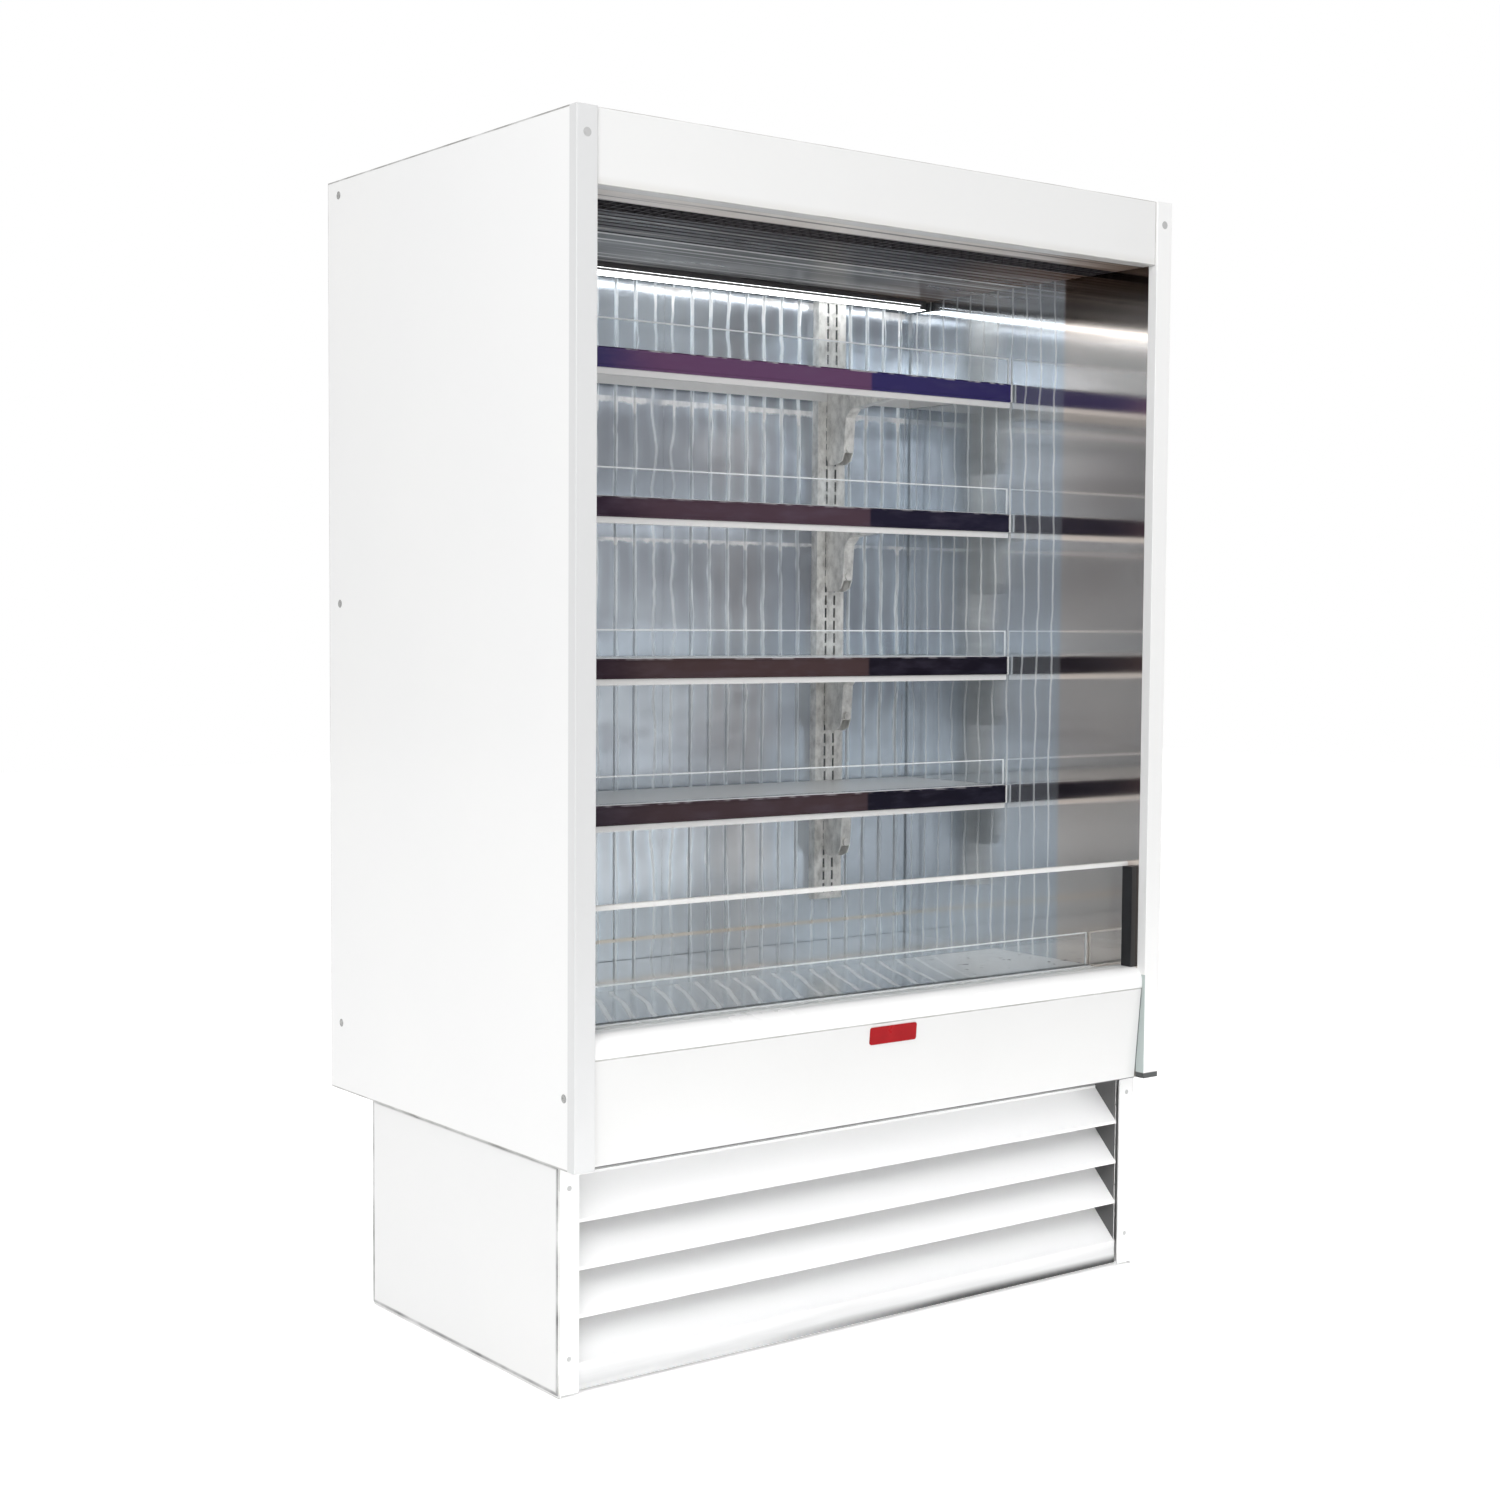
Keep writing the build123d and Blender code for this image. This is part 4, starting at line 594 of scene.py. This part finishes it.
def makeFrontPan(look):
    material, tree, shader = startMaterial("frontPanSteel")
    across, deep, height = axes(tree)
    leaning = calc(tree, "SUBTRACT", across, times(tree, deep, look["lean"]))
    core, halo, quick = ribLines(tree, leaning, 0.0, look)
    # Painted reflection of the back's ribs, then painted light to the right
    tone = mixColours(tree, times(tree, core, 0.85), look["dull"], look["white"])
    right = softStep(tree, leaning, look["whiteFrom"], look["whiteTo"])
    tone = mixColours(tree, right, tone, look["white"])
    speck = noise(tree, objectSpace(tree, (60, 60, 60)), 1.0, 2)
    dots = times(tree, right, spread(tree, speck, 0, 1, 0.66, 0.70))
    feed(tree, mixColours(tree, dots, tone, look["speck"]), shader.inputs["Base Color"])
    pale = calc(tree, "MAXIMUM", right, times(tree, core, 0.8))
    feed(tree, times(tree, flip(tree, pale), look["metal"]), shader.inputs["Metallic"])
    feed(tree, spread(tree, speck, *look["rough"]), shader.inputs["Roughness"])
    feed(tree, bump(tree, quick, 0.4, 0.002), shader.inputs["Normal"])
    return material


paint(["deck_pan_front"], makeFrontPan(frontPan))

zincSteel = {
    **brightSteel,
    "tints": ((0.0, (0.36, 0.37, 0.38)), (0.5, (0.50, 0.50, 0.49)), (1.0, (0.66, 0.66, 0.65))),
    "rough": (0.30, 0.45),
    "streak": (30.0, 30.0, 30.0),
    "buckleDepth": 0.0005,
}
paint(["fan_bulkhead", "condensate_pan", "control_box"], makeSteel("zincSteel", zincSteel))

# Standards and brackets: pale zinc with a mottled bloom
paleZinc = {
    "dark": (0.52, 0.51, 0.49),
    "light": (0.96, 0.95, 0.92),
    "specks": (0.85, 0.85, 0.83),
    "rough": (0.28, 0.5),
    "metal": 0.2,
    "bloomScale": 60.0,
    "speckScale": 260.0,
}


def makeZinc(name, look):
    material, tree, shader = startMaterial(name)
    bloom = noise(tree, objectSpace(tree, (1, 1, 0.6)), look["bloomScale"], 4, 0.6)
    speck = noise(tree, objectSpace(tree), look["speckScale"], 2)
    tone = mixColours(tree, spread(tree, bloom, 0, 1, 0.32, 0.62), look["dark"], look["light"])
    tone = mixColours(tree, spread(tree, speck, 0, 0.3), tone, look["specks"])
    feed(tree, tone, shader.inputs["Base Color"])
    feed(tree, spread(tree, bloom, *look["rough"]), shader.inputs["Roughness"])
    shader.inputs["Metallic"].default_value = look["metal"]
    feed(tree, bump(tree, bloom, 0.5, 0.0004), shader.inputs["Normal"])
    return material


zincPieces = ["shelf_standards"] + [f"shelf_{tier}_brackets" for tier in range(1, 5)]
paint(zincPieces, makeZinc("paleZinc", paleZinc))

# Canopy ceiling: nearly black, with bright lines along its length
ceilingSteel = {
    "dark": (0.030, 0.027, 0.030),
    "light": (0.62, 0.61, 0.60),
    "warm": (0.13, 0.085, 0.065),     # right end, away from the lamp
    "warmFrom": 0.25,                 # metres right of the middle
    "warmTo": 0.6,
    "lines": (0.6, 60.0, 60.0),
    "rough": (0.25, 0.4),
    "shine": 0.12,
    "seam": (-0.05, 0.0),             # bright double line along the ceiling
    "seamHalf": 0.004,
    "seamSoft": 0.003,
}


def makeCeiling(look):
    material, tree, shader = startMaterial("ceilingSteel")
    across, deep, height = axes(tree)
    drawn = noise(tree, objectSpace(tree, look["lines"]), 1.0, 3, 0.5)
    cloud = noise(tree, objectSpace(tree, (2.5, 14, 14)), 1.0, 3)
    lines = times(tree, spread(tree, drawn, 0, 1, 0.56, 0.62), spread(tree, cloud, 0.1, 1.0))
    for seam in look["seam"]:
        lines = calc(tree, "MAXIMUM", lines, band(tree, deep, seam, look["seamHalf"], look["seamSoft"]))
    warm = softStep(tree, across, look["warmFrom"], look["warmTo"])
    base = mixColours(tree, warm, look["dark"], look["warm"])
    feed(tree, mixColours(tree, lines, base, look["light"]), shader.inputs["Base Color"])
    feed(tree, spread(tree, cloud, *look["rough"]), shader.inputs["Roughness"])
    shader.inputs["Specular IOR Level"].default_value = look["shine"]
    feed(tree, bump(tree, drawn, 0.4, 0.0006), shader.inputs["Normal"])
    return material


paint(["canopy_ceiling"], makeCeiling(ceilingSteel))
print("steel done")


# Dark price rails: navy and plum by turns, with a sharp change right of the middle
priceRail = {
    "plumFrom": -0.30,
    "plumSoft": 0.08,
    "turn": 0.246,           # metres right of the middle
    "turnSoft": 0.004,
    "rough": (0.34, 0.46),
    "shine": 0.07,
    "frost": (0.20, 0.18, 0.26),
    "nick": (0.75, 0.74, 0.78),
    "notches": 0.25,         # how pale the dashes along the top edge are
}
railLooks = {
    1: {"left": (0.058, 0.048, 0.150), "middle": (0.155, 0.072, 0.160), "right": (0.042, 0.034, 0.145),
        "notches": 0.9},
    2: {"left": (0.036, 0.021, 0.038), "middle": (0.078, 0.046, 0.064), "right": (0.014, 0.012, 0.030)},
    3: {"left": (0.034, 0.020, 0.030), "middle": (0.066, 0.040, 0.042), "right": (0.008, 0.006, 0.014)},
    4: {"left": (0.042, 0.030, 0.042), "middle": (0.060, 0.038, 0.044), "right": (0.009, 0.008, 0.018)},
}


def makeRail(name, look, box):
    material, tree, shader = startMaterial(name)
    low, high = box
    across, deep, height = axes(tree)
    mottled = noise(tree, objectSpace(tree, (16, 16, 60)), 1.0, 4)
    scallop = noise(tree, objectSpace(tree, (34, 34, 10)), 1.0, 1)
    wander = calc(tree, "ADD", across, times(tree, calc(tree, "SUBTRACT", mottled, 0.5), 0.12))
    plum = softStep(tree, wander, look["plumFrom"] - look["plumSoft"], look["plumFrom"] + look["plumSoft"])
    tint = mixColours(tree, plum, look["left"], look["middle"])
    turned = softStep(tree, across, look["turn"] - look["turnSoft"], look["turn"] + look["turnSoft"])
    tint = mixColours(tree, turned, tint, look["right"])
    tint = mixColours(tree, spread(tree, mottled, 0, 0.10, 0.45, 0.75), tint, look["frost"])
    rubbed = softStep(tree, height, high.z - 0.0035, high.z - 0.0015)
    rubbed = times(tree, rubbed, spread(tree, scallop, 0, look["notches"], 0.48, 0.6))
    feed(tree, mixColours(tree, rubbed, tint, look["nick"]), shader.inputs["Base Color"])
    feed(tree, spread(tree, mottled, *look["rough"]), shader.inputs["Roughness"])
    shader.inputs["Specular IOR Level"].default_value = look["shine"]
    feed(tree, bump(tree, noise(tree, objectSpace(tree), 700, 1), 0.2, 0.00005), shader.inputs["Normal"])
    return material


for tier, tones in railLooks.items():
    name = f"shelf_{tier}_price_rail"
    paint([name], makeRail(name + "_plastic", {**priceRail, **tones}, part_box(name)))


# Clear strips and glass: sawn edges look white
clearStrip = {
    "tint": (0.96, 0.985, 1.0),
    "rough": 0.03,
    "ior": 1.2,
    "edge": 0.0022,
    "edgeColour": (0.85, 0.88, 0.90),
}


def makeClear(name, look, box):
    low, high = box
    material, tree, shader = startMaterial(name)
    across, deep, height = axes(tree)
    above = calc(tree, "GREATER_THAN", height, high.z - look["edge"])
    below = calc(tree, "LESS_THAN", height, low.z + look["edge"])
    ends = calc(tree, "GREATER_THAN", calc(tree, "ABSOLUTE", across), high.x - look["edge"] * 1.4)
    edge = calc(tree, "MAXIMUM", calc(tree, "MAXIMUM", above, below), ends)
    smears = noise(tree, objectSpace(tree, (5, 5, 14)), 1.0, 5, 0.6)
    feed(tree, mixColours(tree, edge, look["tint"], look["edgeColour"]), shader.inputs["Base Color"])
    feed(tree, spread(tree, smears, look["rough"] * 0.5, look["rough"] * 2.5), shader.inputs["Roughness"])
    feed(tree, flip(tree, edge), shader.inputs["Transmission Weight"])
    feed(tree, bump(tree, smears, 0.05, 0.0001), shader.inputs["Normal"])
    shader.inputs["IOR"].default_value = look["ior"]
    return material


for name in ["deck_fence"] + [f"shelf_{tier}_fence" for tier in range(1, 5)]:
    paint([name], makeClear(name + "_clear", clearStrip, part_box(name)))

guardGlass = {**clearStrip, "tint": (0.98, 0.992, 0.99), "edge": 0.001, "rough": 0.012}
paint(["riser_guard"], makeClear("guardGlass", guardGlass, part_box("riser_guard")))
print("clear pieces done")


# Moulded plastics
def makePlastic(name, look, tintAt=None):
    material, tree, shader = startMaterial(name)
    space = objectSpace(tree)
    cloud = noise(tree, space, look["cloud"], 4)
    tint = mixColours(tree, spread(tree, cloud, 0, 1), look["colour"], look["shade"])
    if tintAt:
        tint = tintAt(tree, tint)
    feed(tree, tint, shader.inputs["Base Color"])
    feed(tree, spread(tree, cloud, *look["rough"]), shader.inputs["Roughness"])
    shader.inputs["Specular IOR Level"].default_value = look["shine"]
    grain = bump(tree, noise(tree, space, look["grain"], 2), 0.4, look["grainDepth"])
    feed(tree, grain, shader.inputs["Normal"])
    return material


nosePlastic = {
    "colour": (0.965, 0.965, 0.965),
    "shade": (0.945, 0.945, 0.945),
    "rough": (0.2, 0.3),
    "shine": 0.5,
    "cloud": 5.0,
    "grain": 800.0,
    "grainDepth": 0.00003,
}
paint(["nose_rail"], makePlastic("nosePlastic", nosePlastic))
trimPlastic = {**nosePlastic, "colour": (0.84, 0.84, 0.83), "shade": (0.76, 0.76, 0.75)}
paint(["riser_rail"], makePlastic("trimPlastic", trimPlastic))

# Strip under the canopy: yellowed and streaked, browner to the right
canopyStrip = {
    **nosePlastic,
    "colour": (0.88, 0.84, 0.80),
    "shade": (0.72, 0.67, 0.62),
    "rough": (0.25, 0.45),
    "brown": (0.20, 0.13, 0.09),
    "line": (0.05, 0.035, 0.03),
}


def stripTint(tree, tint):
    across, deep, height = axes(tree)
    streaks = noise(tree, objectSpace(tree, (0.9, 70, 70)), 1.0, 3)
    right = softStep(tree, calc(tree, "ADD", across, times(tree, streaks, 0.5)), 0.35, 0.95)
    tone = mixColours(tree, right, tint, canopyStrip["brown"])
    return mixColours(tree, spread(tree, streaks, 0, 0.8, 0.52, 0.62), tone, canopyStrip["line"])


paint(["canopy_strip"], makePlastic("stripPlastic", canopyStrip, stripTint))

blackPlastic = {
    **nosePlastic,
    "colour": (0.010, 0.010, 0.011),
    "shade": (0.018, 0.018, 0.02),
    "rough": (0.3, 0.5),
    "grain": 1200.0,
    "grainDepth": 0.00008,
}
paint(["riser_end_brackets", "evaporator_fan_left", "evaporator_fan_right", "condenser_fan",
       "power_switch", "thermostat_knob"], makePlastic("blackPlastic", blackPlastic))

cellPlastic = {
    **blackPlastic,
    "colour": (0.022, 0.020, 0.023),
    "shade": (0.05, 0.046, 0.05),
    "rough": (0.5, 0.7),
}
paint(["discharge_honeycomb"], makePlastic("cellPlastic", cellPlastic))

redPlate = {
    **nosePlastic,
    "colour": (0.42, 0.008, 0.012),
    "shade": (0.33, 0.005, 0.009),
    "rough": (0.25, 0.35),
    "shine": 0.15,
    "cloud": 40.0,
}
paint(["badge_plate"], makePlastic("redPlate", redPlate))


# Lamps: a dark housing that is open underneath
lampGlow = {
    "colour": (0.97, 0.99, 1.0),
    "strength": 4.0,
    "flicker": 0.25,
    "housing": (0.07, 0.068, 0.07),
    "tube": ((0.9, 0.9, 0.9), (0.8, 0.8, 0.8)),
}


def makeLamp(name, look):
    material, tree, shader = startMaterial(name)
    soft = noise(tree, objectSpace(tree, (9, 30, 30)), 1.0, 2)
    low = look["strength"] * (1 - look["flicker"])
    down = softStep(tree, times(tree, facing(tree, "Z"), -1.0), 0.4, 0.8)
    glow = times(tree, down, spread(tree, soft, low, look["strength"]))
    feed(tree, glow, shader.inputs["Emission Strength"])
    shader.inputs["Emission Color"].default_value = (*look["colour"], 1)
    tube = mixColours(tree, soft, *look["tube"])
    feed(tree, mixColours(tree, down, look["housing"], tube), shader.inputs["Base Color"])
    feed(tree, spread(tree, soft, 0.3, 0.5), shader.inputs["Roughness"])
    return material


paint(["canopy_lamp"], makeLamp("canopyLampGlow", {**lampGlow, "strength": 6.0}))
paint(["shelf_1_lamp", "shelf_2_lamp"], makeLamp("shelfLampGlow", lampGlow))
print("plastics and lamps done")


# Machinery
finned = {
    "pitch": 700.0,
    "colour": (0.62, 0.63, 0.64),
    "dark": (0.12, 0.12, 0.13),
    "dust": (0.3, 0.29, 0.27),
    "rough": (0.3, 0.6),
    "depth": 0.002,
    "metal": 0.9,
}


def makeFins(name, look):
    material, tree, shader = startMaterial(name)
    wave = calc(tree, "SINE", times(tree, axes(tree)[0], look["pitch"]))
    dust = noise(tree, objectSpace(tree), 25, 4)
    tint = mixColours(tree, spread(tree, wave, 0, 1, -0.6, 0.6), look["dark"], look["colour"])
    tint = mixColours(tree, spread(tree, dust, 0, 0.4), tint, look["dust"])
    feed(tree, tint, shader.inputs["Base Color"])
    feed(tree, spread(tree, dust, *look["rough"]), shader.inputs["Roughness"])
    feed(tree, bump(tree, wave, 0.6, look["depth"]), shader.inputs["Normal"])
    shader.inputs["Metallic"].default_value = look["metal"]
    return material


paint(["condenser_coil", "evaporator_coil"], makeFins("coilFins", finned))

blackEnamel = {
    **enamel,
    "colour": (0.02, 0.02, 0.022),
    "shade": (0.035, 0.035, 0.035),
    "rough": (0.2, 0.35),
}
paint(["compressor", "condenser_shroud"], makeEnamel("blackEnamel", blackEnamel))

motorPaint = {
    **enamel,
    "colour": (0.16, 0.17, 0.18),
    "shade": (0.12, 0.12, 0.13),
    "rough": (0.35, 0.5),
}
paint(["fan_motors"], makeEnamel("motorEnamel", motorPaint))

copper = {
    **brightSteel,
    "tints": ((0.0, (0.30, 0.11, 0.05)), (0.5, (0.50, 0.20, 0.10)), (1.0, (0.66, 0.30, 0.16))),
    "rough": (0.25, 0.4),
    "streak": (60.0, 60.0, 60.0),
    "buckleDepth": 0.0002,
}
paint(["refrigerant_pipes"], makeSteel("copperPipe", copper))


# Screws: bare steel on the left end, painted over elsewhere
screwPaint = {
    **enamel,
    "bare": (0.20, 0.20, 0.20),
    "worn": (0.45, 0.45, 0.44),
    "painted": (0.50, 0.50, 0.50),
    "rough": (0.25, 0.4),
    "bareWithin": 0.004,     # of the left end's outer face
}


def screwTint(tree, tint):
    look = screwPaint
    across = axes(tree)[0]
    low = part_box("left_end_panel")[0].x
    onLeft = calc(tree, "LESS_THAN", across, low + look["bareWithin"])
    speck = noise(tree, objectSpace(tree), 300, 2)
    steel = mixColours(tree, spread(tree, speck, 0, 1), look["bare"], look["worn"])
    return mixColours(tree, onLeft, look["painted"], steel)


paint(["panel_screws"], makeEnamel("screwEnamel", screwPaint, None, screwTint))
print("machinery done")


# Floor: it shows white to the eye and in mirrors, and keeps the shadow
floorLook = {
    "size": 14.0,
    "drop": 0.0005,          # below the cabinet's foot
    "colour": (0.93, 0.93, 0.93),
    "clouds": (0.92, 0.92, 0.92),
    "rough": 0.9,
    "shine": 0.05,
    "lift": 0.42,
}


def seenStraight(tree):      # camera, mirror and see-through rays
    path = addNode(tree, "ShaderNodeLightPath").outputs
    seen = calc(tree, "MAXIMUM", path["Is Camera Ray"], path["Is Glossy Ray"])
    return calc(tree, "MAXIMUM", seen, path["Is Transmission Ray"])


def makeFloor(look):
    material, tree, shader = startMaterial("paleFloor")
    cloud = noise(tree, objectSpace(tree), 1.5, 3)
    feed(tree, mixColours(tree, cloud, look["colour"], look["clouds"]), shader.inputs["Base Color"])
    shader.inputs["Roughness"].default_value = look["rough"]
    shader.inputs["Specular IOR Level"].default_value = look["shine"]
    shader.inputs["Emission Color"].default_value = (1, 1, 1, 1)
    feed(tree, times(tree, seenStraight(tree), look["lift"]), shader.inputs["Emission Strength"])
    shape = bmesh.new()
    bmesh.ops.create_grid(shape, x_segments=1, y_segments=1, size=look["size"])
    mesh = bpy.data.meshes.new("paleFloor")
    shape.to_mesh(mesh)
    shape.free()
    mesh.materials.append(material)
    floor = bpy.data.objects.new("paleFloor", mesh)
    floor.location.z = -look["drop"]
    scene.collection.objects.link(floor)


makeFloor(floorLook)

studio = {
    "fill": 0.75,                      # even white light on everything
    "reflected": (0.54, 0.54, 0.54),   # what the metal mirrors
    "panels": {
        "keyPanel": {"place": (-3.6, -3.2, 3.3), "aim": (0, 0, 1.0), "size": (2.6, 2.6), "power": 87.0},
        "frontPanel": {"place": (-0.4, -4.4, 0.5), "aim": (0, -0.35, -0.02), "size": (2.4, 0.5),
                       "power": 2.9, "spread": 22.0},
        "topPanel": {"place": (0, -0.6, 4.2), "aim": (0, 0, 0), "size": (3.0, 3.0), "power": 24.0},
        "backPanel": {"place": (1.5, 3.6, 3.0), "aim": (0, 0, 1.0), "size": (2.4, 2.4), "power": 16.0},
    },
}


def evenLight(tree, colour, strength):
    settings = {"Color": (*colour, 1), "Strength": strength}
    return addNode(tree, "ShaderNodeBackground", settings).outputs[0]


def makeWorld(look):
    world = bpy.data.worlds.new("studio")
    world.use_nodes = True
    tree = world.node_tree
    tree.nodes.clear()
    path = addNode(tree, "ShaderNodeLightPath").outputs
    fill = evenLight(tree, (1, 1, 1), look["fill"])
    mirrored = evenLight(tree, look["reflected"], 1.0)
    white = evenLight(tree, (1, 1, 1), 1.0)
    lit = addNode(tree, "ShaderNodeMixShader", {0: path["Is Glossy Ray"], 1: fill, 2: mirrored}).outputs[0]
    straight = calc(tree, "MAXIMUM", path["Is Camera Ray"], path["Is Transmission Ray"])
    seen = addNode(tree, "ShaderNodeMixShader", {0: straight, 1: lit, 2: white}).outputs[0]
    addNode(tree, "ShaderNodeOutputWorld", {"Surface": seen})
    scene.world = world


def makePanels(look):
    for name, panel in look["panels"].items():
        light = bpy.data.lights.new(name, "AREA")
        light.shape = "RECTANGLE"
        light.size, light.size_y = panel["size"]
        light.energy = panel["power"]
        light.spread = math.radians(panel.get("spread", 180.0))
        lamp = bpy.data.objects.new(name, light)
        lamp.location = panel["place"]
        sight = Vector(panel["aim"]) - Vector(panel["place"])
        lamp.rotation_euler = sight.to_track_quat("-Z", "Y").to_euler()
        scene.collection.objects.link(lamp)


makeWorld(studio)
makePanels(studio)
print("studio done")


# Camera
cameraView = {
    "place": (-2.4953, -3.2764, 1.2129),
    "yaw": -37.209, "pitch": -3.280, "roll": -0.385,
    "lens": 54.14,
}


def makeCamera(look):
    data = bpy.data.cameras.new("photoCamera")
    data.sensor_width = 36.0
    data.lens = look["lens"]
    data.clip_end = 60.0
    camera = bpy.data.objects.new("photoCamera", data)
    turn = Matrix.Rotation(math.radians(look["yaw"]), 4, "Z")
    turn = turn @ Matrix.Rotation(math.radians(look["pitch"]), 4, "X")
    turn = turn @ Matrix.Rotation(math.radians(look["roll"]), 4, "Y")
    upright = Matrix.Rotation(math.radians(90), 4, "X")
    camera.matrix_world = Matrix.Translation(look["place"]) @ turn @ upright
    scene.collection.objects.link(camera)
    scene.camera = camera


makeCamera(cameraView)
scene.view_settings.view_transform = "Standard"
print("camera done")

bpy.context.view_layer.update()
